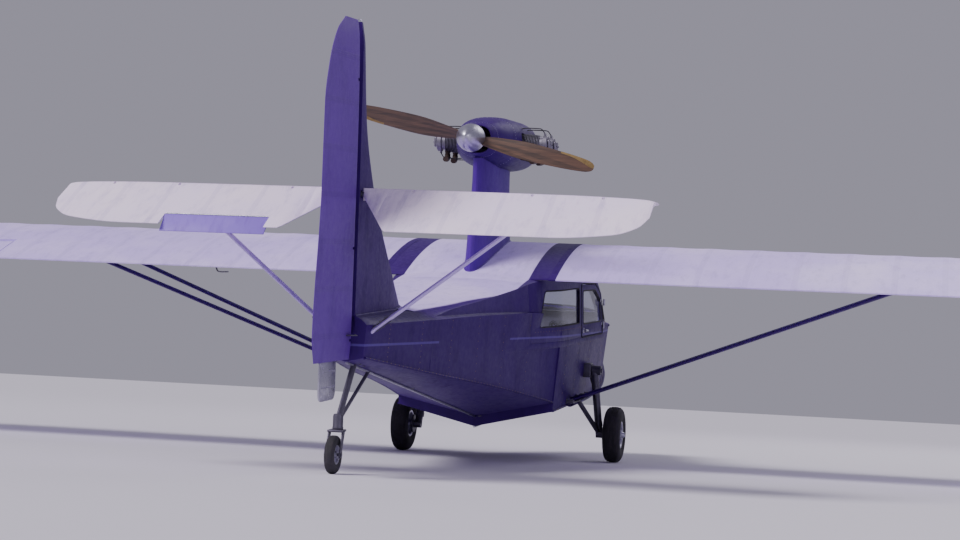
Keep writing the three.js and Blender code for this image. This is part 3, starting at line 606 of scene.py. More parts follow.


# pale holds the wing's colours, painted shade included
dark, pale = named("hull", "hullFaded", "hullDirt"), named("wing", "wingFaded", "wingDirt")
paints = {
    "hull": hullMaterial(),
    "fin": ply("fin paint", dark),
    # The pylon's mid violet is painted shade
    "pylon": ply("pylon painted shade", named("pylon", "rudderFaded", "hull")),
    "wing": fabric("wing fabric in painted shade", pale, "X", 0.3125, 0.56, 0.036),
    "tailplane": fabric("tailplane fabric", named("tailplane", "wingFaded", "wingDirt"),
                        "X", 0.258, 0.042, 0.026),
    # The rudder fabric's lighter tone is a painted glow of sunlight through the fabric
    "rudder": fabric("rudder fabric with painted glow", named("rudder", "rudderFaded", "hull"), "Z", 0.24, 0.73, 0.026),
    # The trim tab's violet is painted shade
    "tab": ply("trim tab painted shade", named("tab", "wing", "rudder")),
    "strut": ply("strut paint", pale, 0.38),
    # Wing struts take the dark hull colours as painted shade
    "shadedStrut": ply("wing strut painted shade", dark, 0.38),
    "steel": metal("painted steel", srgb(92, 88, 104), 0.42, 0.6),
    "aluminium": metal("sheet aluminium", srgb(186, 184, 200), 0.32),
    "engine": metal("cast engine", srgb(132, 128, 142), 0.5, 0.85),
    "exhaust": metal("burnt exhaust", srgb(84, 70, 66), 0.6, 0.85),
    "brass": metal("brass tipping", srgb(150, 126, 88), 0.42),
    "webbing": leather("belt webbing", srgb(62, 60, 70), srgb(88, 86, 98), 0.8),
    "dial": plain("dial face", srgb(14, 13, 17), 0.35),
    "red": plain("red lamp glass", srgb(170, 24, 30), 0.1, 0.35),
    "green": plain("green lamp glass", srgb(22, 120, 70), 0.1, 0.35),
    "tyre": rubber("tyre rubber"),
    "cushion": leather("seat leathercloth", srgb(74, 54, 48), srgb(112, 84, 72), 0.5),
    "interior": ply("cabin grey", (srgb(98, 94, 106), srgb(122, 118, 130), srgb(60, 56, 68)), 0.6),
    "wood": timber("varnished plywood", srgb(176, 128, 82), srgb(132, 86, 50), 14.0, 0.6,
                   (1.0, 0.08, 1.0), 0.0),
    "propeller": timber("propeller wood", srgb(100, 70, 54), srgb(52, 34, 28), 70.0, 0.5,
                        (0.05, 1.0, 1.0), 0.35),
    "glass": clearPane("acrylic sheet"),
}

# The finish of each solid of the model, by its name without the side
cadFinish = {
    "hull": "hull door cabin_top",
    "fin": "fin nacelle tip_float",
    "wood": "cabin_floor seat_base seat_back",
    "interior": "instrument_panel",
    "rudder": "rudder",
    "tab": "trim_tab",
    "pylon": "engine_pylon",
    "engine": "engine",
    "propeller": "propeller",
    "tyre": "tail_tyre main_tyre",
    "aluminium": "water_rudder tail_rim main_rim",
    "steel": "elevator_tube tail_leg tail_fork control_stick gear_leg",
    "glass": "door_window quarter_window front_window windscreen",
    "cushion": "seat_cushion seat_squab",
    "wing": "wing aileron",
    "tailplane": "tailplane elevator",
    "shadedStrut": "wing_strut_front wing_strut_rear",
    "strut": "tail_strut",
}
finishOf = {node: paint for paint, names in cadFinish.items() for node in names.split()}

for nodeName, obj in nodes.items():
    bare = nodeName.removesuffix("_left").removesuffix("_right")
    obj.data.materials.clear()
    obj.data.materials.append(paints[finishOf[bare]])
    smoothed(obj.data, 28)
print("finishes made:", len(paints))


# Curves through tables, shared by every lofted piece

def slopesOf(xs, ys):
    steps = [(y1 - y0) / (x1 - x0) for x0, x1, y0, y1 in zip(xs, xs[1:], ys, ys[1:])]
    inner = [0.0 if a * b <= 0 else 2 * a * b / (a + b) for a, b in zip(steps, steps[1:])]
    return [steps[0]] + inner + [steps[-1]]


def curveThrough(rows):
    xs = [row[0] for row in rows]
    columns = list(zip(*rows))[1:]
    slopes = [slopesOf(xs, ys) for ys in columns]

    def at(x):
        i = min(max(bisect.bisect_right(xs, x) - 1, 0), len(xs) - 2)
        width = xs[i + 1] - xs[i]
        t = min(max((x - xs[i]) / width, 0.0), 1.0)
        start, end = 2 * t ** 3 - 3 * t ** 2 + 1, 3 * t ** 2 - 2 * t ** 3
        leave, arrive = (t ** 3 - 2 * t ** 2 + t) * width, (t ** 3 - t ** 2) * width
        return [start * ys[i] + leave * ms[i] + end * ys[i + 1] + arrive * ms[i + 1]
                for ys, ms in zip(columns, slopes)]
    return at


def evenly(low, high, count):
    return [low + (high - low) * i / (count - 1) for i in range(count)]


def mirroredRing(half):
    inner = [point for point in half if point[0] > 1e-9]
    return half + [(-x, y, z) for x, y, z in reversed(inner)]


# Hull and cabin: plywood skins over frames. Hull rows: y, keel z, chine x, chine z, deck edge x,
# deck edge z, crown. Cabin rows: y, foot x, shoulder x, shoulder z, crown z
hullShape = {
    "skin": 0.025, "splitZ": 0.6, "cabinRearY": -0.6, "cabinFrontY": 2.15, "deckFrontY": 2.26,
    "floorZ": 0.118, "ceilingZ": 0.985, "stations": 34, "cabinStations": 44, "seam": 0.0006,
    "deckRound": 2.9, "roofRound": 3.2, "cabinLowZ": 0.56, "wallFootZ": 0.655,
    "afterbody": [
        (-3.21, 0.584, 0.092, 0.606, 0.108, 0.78, 0.048),
        (-2.3, 0.438, 0.232, 0.486, 0.248, 0.79, 0.048),
        (-1.3, 0.278, 0.362, 0.366, 0.387, 0.8, 0.044),
        (-0.6, 0.166, 0.45, 0.272, 0.488, 0.8, 0.044),
        (0.03, 0.065, 0.53, 0.18, 0.575, 0.76, 0.04),
    ],
    "forebody": [
        (0.0, 0.0, 0.53, 0.125, 0.575, 0.66, 0.05),
        (1.2, 0.008, 0.532, 0.138, 0.575, 0.655, 0.055),
        (1.9, 0.034, 0.52, 0.176, 0.56, 0.65, 0.06),
        (2.45, 0.092, 0.466, 0.24, 0.51, 0.645, 0.06),
        (2.9, 0.188, 0.372, 0.334, 0.412, 0.634, 0.052),
        (3.25, 0.312, 0.246, 0.43, 0.276, 0.618, 0.036),
        (3.47, 0.44, 0.122, 0.51, 0.14, 0.602, 0.018),
        (3.55, 0.53, 0.04, 0.556, 0.048, 0.592, 0.006),
    ],
    "cabin": [
        (-2.3, 0.236, 0.216, 0.79, 0.842), (-1.9, 0.29, 0.268, 0.846, 0.874),
        (-1.5, 0.343, 0.318, 0.88, 0.904), (-0.9, 0.43, 0.4, 0.94, 0.968),
        (-0.41, 0.512, 0.482, 1.0, 1.03), (0.1, 0.577, 0.56, 1.03, 1.09),
        (1.11, 0.577, 0.56, 1.06, 1.128), (1.4, 0.577, 0.558, 1.02, 1.08),
        (1.72, 0.575, 0.553, 0.905, 0.96), (1.9, 0.562, 0.536, 0.832, 0.886),
        (2.3, 0.512, 0.48, 0.655, 0.706),
    ],
}
openings = {
    "door": [(0.79, 0.605), (0.79, 0.965), (1.4, 0.965), (1.7, 0.885), (1.7, 0.605)],
    "doorWindow": [(0.85, 0.69), (0.85, 0.925), (1.39, 0.925), (1.64, 0.858), (1.64, 0.69)],
    "quarter": [(-0.43, 0.7), (-0.3, 0.935), (0.69, 0.945), (0.69, 0.7)],
    "front": [(1.76, 0.69), (1.76, 0.85), (1.89, 0.77), (2.06, 0.69)],
    "screen": (0.012, 0.462, 1.24, 2.11), "corner": 0.03, "doorGap": 0.005,
    "glassDepth": (0.009, 0.014),
}


def hullRing(row, inset=0.0):
    y, keelZ, chineX, chineZ, edgeX, edgeZ, crown = row
    half = [(0.0, y, keelZ + inset)]
    for share in (1 / 3, 2 / 3, 1):
        half.append(((chineX - inset) * share, y, keelZ + inset + (chineZ - keelZ) * share))
    for share in (0.25, 0.5, 0.75, 1):
        half.append((chineX + (edgeX - chineX) * share - inset, y,
                     (chineZ + inset) * (1 - share) + (edgeZ - inset) * share))
    for share in (0.86, 0.72, 0.56, 0.38, 0.19, 0):
        half.append(((edgeX - inset) * share, y,
                     edgeZ + crown * (1 - share ** hullShape["deckRound"]) - inset))
    return mirroredRing(half)


def cabinRing(row, inset=0.0):
    y, footX, shoulderX, shoulderZ, crownZ = row
    low, footZ = hullShape["cabinLowZ"] + inset, hullShape["wallFootZ"]
    half = [(0.0, y, low), (footX - inset, y, low), (footX - inset, y, footZ)]
    for share in (1 / 3, 2 / 3, 1):
        half.append((footX + (shoulderX - footX) * share - inset, y,
                     footZ + (shoulderZ - inset - footZ) * share))
    for share in (0.93, 0.85, 0.7, 0.5, 0.25, 0):
        half.append(((shoulderX - inset) * share, y,
                     shoulderZ + (crownZ - shoulderZ) * (1 - share ** hullShape["roofRound"]) - inset))
    return mirroredRing(half)


# A body lofted through a table of stations, drawn in by a wall's thickness
def skinned(rows, ring, count, inset, ends=(0.0, 0.0)):
    at = curveThrough(rows)
    places = evenly(rows[0][0] + ends[0], rows[-1][0] - ends[1], count)
    places = sorted(set(places) | {row[0] for row in rows if places[0] < row[0] < places[-1]})
    return lofted([ring((y, *at(y)), inset) for y in places])


def hullForms(inset=0.0):
    return [skinned(hullShape["afterbody"], hullRing, hullShape["stations"], inset, (inset, 0.0)),
            skinned(hullShape["forebody"], hullRing, hullShape["stations"], inset, (inset, inset))]


def cabinForm(inset=0.0):
    return skinned(hullShape["cabin"], cabinRing, hullShape["cabinStations"], inset)


def grown(outline, amount):
    points = [Vector(p) for p in outline]
    area = sum(a.x * b.y - b.x * a.y for a, b in zip(points, points[1:] + points[:1]))
    sign = -1 if area < 0 else 1
    result = []
    for i, point in enumerate(points):
        before = (point - points[i - 1]).normalized()
        after = (points[(i + 1) % len(points)] - point).normalized()
        bisector = Vector((before.y + after.y, -before.x - after.x)) * sign
        result.append(point + bisector * (2 * amount / bisector.length_squared))
    return result


def rounded(outline, radius, steps=5):
    points = [Vector(p) for p in outline]
    result = []
    for i, corner in enumerate(points):
        before = (points[i - 1] - corner).normalized()
        after = (points[(i + 1) % len(points)] - corner).normalized()
        start, end = corner + before * radius, corner + after * radius
        for k in range(steps + 1):
            t = k / steps
            result.append(start * (1 - t) ** 2 + corner * 2 * t * (1 - t) + end * t ** 2)
    return result


# Cutters for the openings in the cabin's sides and roof, all with rounded corners
def sidePrism(key, side, grow=0.0):
    points = rounded(grown(openings[key], grow), max(openings["corner"] + grow, 0.004))
    return lofted([[(side * x, y, z) for y, z in points] for x in (0.4, 0.7)])


def screenPrism(side, grow=0.0):
    x0, x1, y0, y1 = openings["screen"]
    low, near, high, far = x0 - grow, y0 - grow, x1 + grow, y1 + grow
    outline = rounded([(low, near), (low, far), (high, far), (high, near)], openings["corner"] + grow)
    return lofted([[(side * x, y, z) for x, y in outline] for z in (0.7, 1.4)])


def makeHull():
    shape = hullShape
    skin, seam = shape["skin"], shape["seam"]
    rear, front = shape["cabinRearY"], shape["cabinFrontY"]
    lowRoom = boxed((-0.7, rear + skin, shape["floorZ"]), (0.7, front, 0.75))
    rooms = [combined(form, ("INTERSECT", lowRoom.copy())) for form in hullForms(skin)]
    highRoom = boxed((-0.7, rear + skin, 0.3), (0.7, front, 1.4))
    loft = boxed((-0.7, -0.7, shape["ceilingZ"]), (0.7, 1.15, 1.5))
    attic = combined(cabinForm(skin), ("INTERSECT", highRoom), ("DIFFERENCE", loft))
    centre = lofted([wingSection(x) for x in (-wing["rootX"], wing["rootX"])])
    afterbody, forebody = hullForms()
    outer = combined(afterbody, ("UNION", forebody), ("UNION", cabinForm()), ("UNION", centre))
    above = boxed((-0.8, rear, shape["splitZ"]), (0.8, shape["deckFrontY"], 1.5))
    hull = carved(outer.copy(), *rooms, above)
    inside = boxed((-0.8, rear + seam, shape["splitZ"] + seam), (0.8, shape["deckFrontY"] - seam, 1.5))
    shell = carved(outer.copy(), attic)
    cuts = []
    for side in sides.values():
        cuts += [sidePrism("door", side, openings["doorGap"]), screenPrism(side),
                 sidePrism("quarter", side), sidePrism("front", side)]
    cabin = combined(shell, ("INTERSECT", inside), *[("DIFFERENCE", cutter) for cutter in cuts])
    placed("hull_skin", eased(hull), "hull", "hull", "hull_paint")
    placed("cabin_skin", eased(cabin), "hull", "cabin_top", "hull_paint")

    inner = cabinForm(skin)
    near, far = openings["glassDepth"]
    pane = carved(cabinForm(near), cabinForm(far))
    for name, side in sides.items():
        door = "door_" + name
        panel = combined(outer.copy(), ("INTERSECT", sidePrism("door", side)),
                         ("DIFFERENCE", inner.copy()), ("DIFFERENCE", sidePrism("doorWindow", side)))
        placed("door_skin_" + name, eased(panel), "hull", door, "hull_paint", door)
        for label, cutter, body in (
                ("quarter_window", sidePrism("quarter", side, -seam), "airframe"),
                ("front_window", sidePrism("front", side, -seam), "airframe"),
                ("windscreen", screenPrism(side, -seam), "airframe"),
                ("door_window", sidePrism("doorWindow", side, -seam), door)):
            glass = combined(pane.copy(), ("INTERSECT", cutter))
            placed(label + "_pane_" + name, glass, "glass", label + "_" + name, "glass", body)


# Wings: fabric over ribs, so the skin dips a little between them
wing = {
    "chord": 1.52, "incidence": radians(4), "trailY": -0.41, "trailZ": 1.01, "rootX": 0.56, "tipX": 5.56,
    "camber": 0.04, "camberAt": 0.4, "thickness": 0.15, "bays": 16, "sag": 0.0032,
    "tipFrom": 0.94, "sheetTo": 0.12, "points": 36,
}
aileron = {
    "inner": 3.35, "outer": 5.05, "hingeAt": 0.78, "nose": 0.042, "gap": 0.006, "hingesFrom": 0.25,
    "bays": 6,
}


def camberLine(t):
    camber, at = wing["camber"], wing["camberAt"]
    if t < at:
        return camber / at ** 2 * (2 * at * t - t ** 2)
    return camber / (1 - at) ** 2 * (1 - 2 * at + 2 * at * t - t ** 2)


def halfThickness(t):
    return 5 * wing["thickness"] * (
        0.2969 * sqrt(t) - 0.126 * t - 0.3516 * t ** 2 + 0.2843 * t ** 3 - 0.1015 * t ** 4) + 0.001 * t


def softStep(low, high, value):
    t = min(max((value - low) / (high - low), 0.0), 1.0)
    return t * t * (3 - 2 * t)


def wingPoint(x, t, face, scale=1.0, thicken=1.0, sag=0.0):
    angle = wing["incidence"]
    size = wing["chord"] * scale
    trail = wing["trailY"] + 0.33 * (wing["chord"] - size)
    fabric = softStep(wing["sheetTo"], wing["sheetTo"] + 0.08, t) * (1 - softStep(0.9, 0.98, t))
    rise = (camberLine(t) + face * halfThickness(t) * thicken) * size - face * sag * fabric
    back = (1 - t) * size
    return (x, trail + back * cos(angle) - rise * sin(angle),
            wing["trailZ"] + back * sin(angle) + rise * cos(angle))


def wingSection(x, scale=1.0, thicken=1.0, sag=0.0):
    count = wing["points"]
    shares = [(1 - cos(pi * i / (count - 1))) / 2 for i in range(count)]
    upper = [wingPoint(x, t, 1, scale, thicken, sag) for t in reversed(shares)]
    lower = [wingPoint(x, t, -1, scale, thicken, sag) for t in shares[1:]]
    return upper + lower


# Spanwise places with how far the fabric dips at each: none over a rib and its tape
def ribPlaces(low, high, bays, tape=0.016):
    bay = (high - low) / bays
    places = []
    for i in range(bays):
        start = low + i * bay
        places.append((start, 0.0))
        for k in range(6):
            places.append((start + tape + (bay - 2 * tape) * k / 5,
                           sin(pi * k / 5) ** 0.8 if 0 < k < 5 else 0.0))
    return places + [(high, 0.0)]


def wingPlan(share):
    if share <= wing["tipFrom"]:
        return 1.0, 1.0
    bow = sqrt(max(1 - ((share - wing["tipFrom"]) / (1 - wing["tipFrom"])) ** 2, 0.0))
    return 0.4 + 0.6 * bow, 0.35 + 0.65 * bow


def hingeHeight():
    back = (1 - aileron["hingeAt"]) * wing["chord"]
    rise = camberLine(1 - back / wing["chord"]) * wing["chord"]
    return wing["trailY"] + back, wing["trailZ"] + back * sin(wing["incidence"]) + rise


def makeWings():
    span = wing["tipX"] - wing["rootX"] - 0.0003
    start = wing["rootX"] + 0.0003
    hingeY, hingeZ = hingeHeight()
    ribs = ribPlaces(start, start + span, wing["bays"])
    places = [place for place in ribs if place[0] < start + span * wing["tipFrom"]]
    tip = [(start + span * (wing["tipFrom"] + (1 - wing["tipFrom"]) * sin(pi / 2 * i / 14)), 0.0)
           for i in range(15)]
    for name, side in sides.items():
        rings = []
        for x, dip in places + tip:
            scale, thicken = wingPlan((x - start) / span)
            rings.append(wingSection(side * x, scale, thicken, wing["sag"] * dip))
        well = boxed((side * (aileron["inner"] - aileron["gap"]), -0.8, 0.8),
                     (side * (aileron["outer"] + aileron["gap"]),
                      hingeY + aileron["nose"] + aileron["gap"], 1.4))
        placed("wing_skin_" + name, carved(lofted(rings), well), "wing", "wing_" + name, "wing_paint")
        makeAileron(name, side, hingeY, hingeZ)


def makeAileron(name, side, hingeY, hingeZ):
    rings = []
    tall = halfThickness(aileron["hingeAt"]) * wing["chord"]
    bend = [pi / 2 - pi * k / 12 for k in range(1, 12)]
    shares = evenly(aileron["hingeAt"], 1.0, 14)
    for x, dip in ribPlaces(aileron["inner"], aileron["outer"], aileron["bays"]):
        sag = wing["sag"] * 0.7 * dip
        upper = [wingPoint(side * x, t, 1, sag=sag) for t in reversed(shares)]
        lower = [wingPoint(side * x, t, -1, sag=sag) for t in shares]
        nose = [(side * x, hingeY + aileron["nose"] * cos(a), hingeZ + tall * sin(a)) for a in bend]
        rings.append(upper + nose + lower)
    reach = aileron["hingesFrom"]
    pins = [(side * x, hingeY, hingeZ) for x in (aileron["inner"] + reach, aileron["outer"] - reach)]
    slots = [hingeSlot(pin) for pin in pins]
    body = "aileron_" + name
    placed("aileron_skin_" + name, carved(lofted(rings), *slots), "wing", body, "wing_paint", body)
    for index, pin in enumerate(pins):
        makeHinge("aileron_hinge_%s_%d" % (name, index), pin, 0.075, body)


# Room for a hinge's lug in the piece that moves
def hingeSlot(pin, tall=0.07, half=0.007, deep=0.08):
    x, y, z = pin
    return boxed((x - half, y - 0.022, z - tall), (x + half, y + deep, z + tall))


# A hinge: a lug plate with a rounded end on the fixed piece, and a headed pin in the moving one
def makeHinge(label, pin, reach, body, upright=False):
    across, other, ahead = Vector((1, 0, 0)), Vector((0, 0, 1)), Vector((0, 1, 0))
    if upright:
        across, other = other, across
    rings = []
    for depth in (-0.004, 0.004):
        at = Vector(pin) + across * depth
        bend = [pi / 2 + pi * k / 12 for k in range(13)]
        ring = [at + ahead * 0.012 * cos(a) + other * 0.012 * sin(a) for a in bend]
        rings.append(ring + [at + ahead * reach - other * 0.016, at + ahead * reach + other * 0.016])
    placed(label + "_lug", eased(lofted(rings), 0.0008), "steel")
    head = [(0.0, 0.0095), (0.0062, 0.0095), (0.0062, 0.0125), (0.0, 0.0135)]
    parts = [disc(0.0036, -0.011, 0.011, pin, across, 20), turnedAbout(head, pin, across, 20)]
    placed(label + "_pin", joined(parts), "aluminium", body=body)


# Tail: plywood fin, fabric rudder, tailplane and elevators. Outlines are read smoothly from tables
tail = {
    "z": 1.466, "hingeY": -3.17, "rudderY": -3.255, "rootX": 0.0423, "tipX": 1.59, "droop": 25.0,
    "bays": 6, "sag": 0.0016, "rudderBays": 7, "elevatorHinges": (0.33, 0.96, 1.33),
    "rudderHinges": [(0.7, 0.06), (1.18, 0.05), (2.06, 0.05)],
    "fin": [(0.74, -2.02, 0.042), (1.011, -2.31, 0.042), (1.5, -2.805, 0.042), (1.856, -3.02, 0.04),
            (2.25, -3.12, 0.036), (2.365, -3.15, 0.021)],
    "rudder": [(0.6, -3.79, 0.03), (0.73, -3.83, 0.036), (1.47, -3.756, 0.036),
               (1.915, -3.75, 0.034), (2.13, -3.69, 0.03), (2.29, -3.575, 0.024),
               (2.37, -3.44, 0.014)],
    "plan": [(0.0, 1.0, 1.0), (0.7, 1.0, 0.9), (0.9, 0.88, 0.7), (0.975, 0.66, 0.5), (1.0, 0.4, 0.25)],
    "tab": (-0.925, -0.355), "tabTilt": 20.0, "vee": (0.062, 0.5), "chord": 0.46, "taper": 0.09,
    "half": 0.033, "flapHalf": 0.03,
}


# Half the thickness of fin and tailplane at a share of the way back from their front edge
def bladeHalf(half, t):
    return half * sqrt(max(1 - (1 - t) ** 2.4, 0.0))


def bladeRing(lead, rear, half, dip=0.0):
    ring = []
    for k in range(18):
        t = (1 - cos(pi / 2 * k / 17))
        fabric = softStep(0.2, 0.35, t) * (1 - softStep(0.88, 0.98, t))
        ring.append((lead - (lead - rear) * t, bladeHalf(half, t) - dip * fabric))
    return ring + [(y, -across) for y, across in reversed(ring[1:])]


def flapRing(hinge, trail, half, dip):
    ring = []
    for k in range(9):
        angle = pi / 2 * k / 8
        ring.append((hinge + half * cos(angle), half * sin(angle)))
    for t in evenly(0.06, 1.0, 12):
        thick = half * (1 - t) ** 0.9 + 0.0015
        fabric = softStep(0.08, 0.25, t) * (1 - softStep(0.86, 0.97, t))
        ring.append((hinge - (hinge - trail) * t, thick - dip * fabric))
    return ring + [(y, -across) for y, across in reversed(ring[1:])]


def spanPlaces(bays, tipFrom=0.86):
    places = [p for p in ribPlaces(0.0, 1.0, bays, 0.009) if p[0] < tipFrom]
    return places + [(tipFrom + (1 - tipFrom) * sin(pi / 2 * k / 12), 0.0) for k in range(13)]


def droopMatrix():
    hinge = Vector((0, tail["hingeY"], tail["z"]))
    return (Matrix.Translation(hinge) @ Matrix.Rotation(radians(tail["droop"]), 4, "X")
            @ Matrix.Translation(-hinge))


def finOutline():
    low, high = tail["fin"][0][0], tail["fin"][-1][0]
    return low, high, tail["rudderY"] + 0.045, curveThrough(tail["fin"])


def makeFin():
    low, high, rear, at = finOutline()
    rings = []
    for z in evenly(low, high, 48):
        lead, half = at(z)
        rings.append([(x, y, z) for y, x in bladeRing(lead, rear, half)])
    hole = disc(0.02, -0.09, 0.09, (0, tail["hingeY"], tail["z"]), (1, 0, 0), 24)
    placed("fin_skin", carved(lofted(rings), hole), "fin", "fin", "hull_paint")


def makeRudder():
    at = curveThrough(tail["rudder"])
    low, high = tail["rudder"][0][0], tail["rudder"][-1][0]
    rings = []
    for share, dip in spanPlaces(tail["rudderBays"], 0.9):
        z = low + (high - low) * share
        trail, half = at(z)
        rings.append([(x, y, z) for y, x in flapRing(tail["rudderY"], trail, half, tail["sag"] * dip)])
    pins = [(0, tail["rudderY"], z) for z, _ in tail["rudderHinges"]]
    slots = [hingeSlot(pin, 0.007, 0.06, 0.09) for pin in pins]
    placed("rudder_skin", carved(lofted(rings), *slots), "rudder", "rudder", "rudder_paint", body="rudders")
    for index, (pin, (_, reach)) in enumerate(zip(pins, tail["rudderHinges"])):
        makeHinge("rudder_hinge_%d" % index, pin, reach, "rudders", upright=True)


def makeTailplane(name, side):
    plan = curveThrough(tail["plan"])
    hinge, middle = tail["hingeY"], tail["z"]
    rear = hinge + 0.038
    span = tail["tipX"] - tail["rootX"]
    rings = []
    for share, dip in spanPlaces(tail["bays"]):
        scale, thin = plan(share)
        lead = rear + (tail["chord"] - tail["taper"] * share) * scale
        x = side * (tail["rootX"] + span * share)
        ring = bladeRing(lead, rear, tail["half"] * thin, tail["sag"] * dip)
        rings.append([(x, y, middle + z) for y, z in ring])
    placed("tailplane_skin_" + name, lofted(rings), "tailplane", "tailplane_" + name, "wing_paint")

    veeStart, veeSlope = tail["vee"]
    places = [p for p in spanPlaces(tail["bays"]) if p[0] * span + tail["rootX"] > veeStart + 0.004]
    extra = [((x - tail["rootX"]) / span, 0.0) for x in evenly(veeStart, veeStart + 0.24, 14)]
    rings = []
    for share, dip in sorted(places + extra):
        scale, thin = plan(share)
        x = tail["rootX"] + span * share
        chord = min(tail["chord"] * scale, 0.032 + max(x - veeStart, 0.0) / veeSlope)
        ring = flapRing(hinge, hinge - chord, tail["flapHalf"] * thin, tail["sag"] * dip)
        rings.append([(side * x, y, middle + z) for y, z in ring])
    pins = [(side * x, hinge, middle) for x in tail["elevatorHinges"]]
    cutters = [hingeSlot(pin, 0.06) for pin in pins]
    if side < 0:
        tabLow, tabHigh = tail["tab"]
        cutters.append(boxed((tabLow, hinge - 0.6, 1.3), (tabHigh, hinge - 0.35, 1.6)))
    flap = carved(lofted(rings), *cutters)
    flap.transform(droopMatrix())
    placed("elevator_skin_" + name, flap, "tailplane", "elevator_" + name, "wing_paint", body="elevators")
    for index, pin in enumerate(pins):
        makeHinge("elevator_hinge_%s_%d" % (name, index), pin, 0.05, "elevators")


# Trim tab: a thin plywood wedge on a piano hinge
def makeTab():
    low, high = tail["tab"]
    wedge = [(0.0, 0.008), (-0.02, 0.0076), (-0.118, 0.0018)]
    wedge += [(y, -z) for y, z in reversed(wedge)]
    tab = eased(lofted([[(x, y, z) for y, z in wedge] for x in (low + 0.002, high - 0.002)]), 0.0012)
    hinge = Vector((0, tail["hingeY"] - 0.3503, tail["z"]))
    tab.transform(Matrix.Translation(hinge) @ Matrix.Rotation(radians(tail["tabTilt"]), 4, "X"))
    tab.transform(droopMatrix())
    placed("trim_tab_skin", tab, "tab", "trim_tab", "wing_paint", body="elevators")
    knuckles = []
    for i, x in enumerate(evenly(low + 0.01, high - 0.01, 37)[:-1]):
        width = 0.0065 if i % 2 else 0.0072
        at = (x, tail["hingeY"] - 0.35, tail["z"] + 0.0085)
        knuckles.append(disc(0.0042, 0.0, width * 2, at, (1, 0, 0), 12))
    piano = joined(knuckles)
    piano.transform(droopMatrix())
    placed("tab_hinge", piano, "aluminium", body="elevators")


def makeTail():
    makeFin()
    makeRudder()
    for name, side in sides.items():
        makeTailplane(name, side)
    makeTab()


# Nacelle, pylon, engine and propeller
nacelle = {
    "z": 1.92, "power": 0.8, "wall": 0.006, "around": 56,
    "stations": [
        (-0.27, 0.104, 0.096), (-0.1, 0.17, 0.14), (0.22, 0.226, 0.176), (0.62, 0.232, 0.178),
        (0.89, 0.19, 0.15), (0.985, 0.12, 0.105), (1.01, 0.052, 0.048),
    ],
    "slots": [(0.06, 0.3), (-0.3, -0.06)], "slotY": (0.165, 0.585), "slotHalf": 0.072,
    "inlets": (-0.062, 0.062), "inletRadius": 0.026,
    "pylon": [(1.02, 0.9, -0.33, 0.1), (1.1, 0.88, -0.32, 0.096), (1.32, 0.8, -0.29, 0.084),
              (1.7, 0.74, -0.22, 0.076), (1.8, 0.74, -0.22, 0.076)],
}
cylinder = {
    "ys": (0.26, 0.49), "start": 0.13, "bore": 0.052, "finRadius": 0.071, "fins": 15, "finStart": 0.175,
    "pitch": 0.0105, "finWidth": 0.0035, "end": 0.35,
}
airscrew = {
    "y": -0.42, "turn": 12.0, "around": 40, "metalFrom": 0.6,
    "stations": [
        (0.04, 0.066, 0.05, 44), (0.095, 0.076, 0.04, 40), (0.15, 0.096, 0.03, 36),
        (0.36, 0.128, 0.02, 24), (0.6, 0.112, 0.014, 17), (0.78, 0.082, 0.009, 14),
        (0.82, 0.056, 0.0068, 13.2), (0.835, 0.028, 0.005, 13),
    ],
    "hub": [(0.0, 0.08), (0.07, 0.08), (0.07, 0.02), (0.092, 0.012), (0.093, 0.002), (0.0915, -0.02),
            (0.086, -0.06), (0.0765, -0.095), (0.06, -0.13), (0.044, -0.155), (0.026, -0.174),
            (0.012, -0.183), (0.0, -0.186)],
}


def nacelleRing(y, halfX, halfZ, inset=0.0):
    ring = []
    for angle in anglesRound(nacelle["around"]):
        x, z = cos(angle), sin(angle)
        ring.append(((halfX - inset) * copysign(abs(x) ** nacelle["power"], x), y,
                     nacelle["z"] + (halfZ - inset) * copysign(abs(z) ** nacelle["power"], z)))
    return ring


def pylonPoint(angle, z):
    front, rear, half = curveThrough(nacelle["pylon"])(z)
    x = half * copysign(abs(sin(angle)) ** 0.9, sin(angle))
    return x, (front + rear) / 2 + (front - rear) / 2 * cos(angle), z


def makeNacelle():
    at = curveThrough(nacelle["stations"])
    wall = nacelle["wall"]
    low, high = nacelle["stations"][0][0], nacelle["stations"][-1][0]
    places = evenly(low, high - 0.125, 36)
    places += [high - 0.12 * (1 - sin(pi / 2 * k / 12)) for k in range(13)]
    outer = lofted([nacelleRing(y, *at(y)) for y in places])
    hollow = [nacelleRing(low - 0.03, *at(low), wall)]
    cuts = [lofted(hollow + [nacelleRing(y, *at(y), wall) for y in places[:-5]])]
    y0, y1 = nacelle["slotY"]
    half = nacelle["slotHalf"]
    outline = rounded([(y0, -half), (y0, half), (y1, half), (y1, -half)], 0.04)
    for ends in nacelle["slots"]:
        cuts.append(lofted([[(x, y, nacelle["z"] + z) for y, z in outline] for x in ends]))
    for x in nacelle["inlets"]:
        at = (x, 0, nacelle["z"] + 0.004)
        cuts.append(disc(nacelle["inletRadius"], 0.9, 1.05, at, (0, 1, 0), 32))
    placed("nacelle_skin", eased(carved(outer, *cuts), 0.0012, 2, 40), "fin", "nacelle", "hull_paint")
    rings = [[pylonPoint(angle, z) for angle in anglesRound(48)] for z in evenly(1.02, 1.8, 24)]
    placed("pylon_skin", lofted(rings), "pylon", "engine_pylon", "rudder_paint")


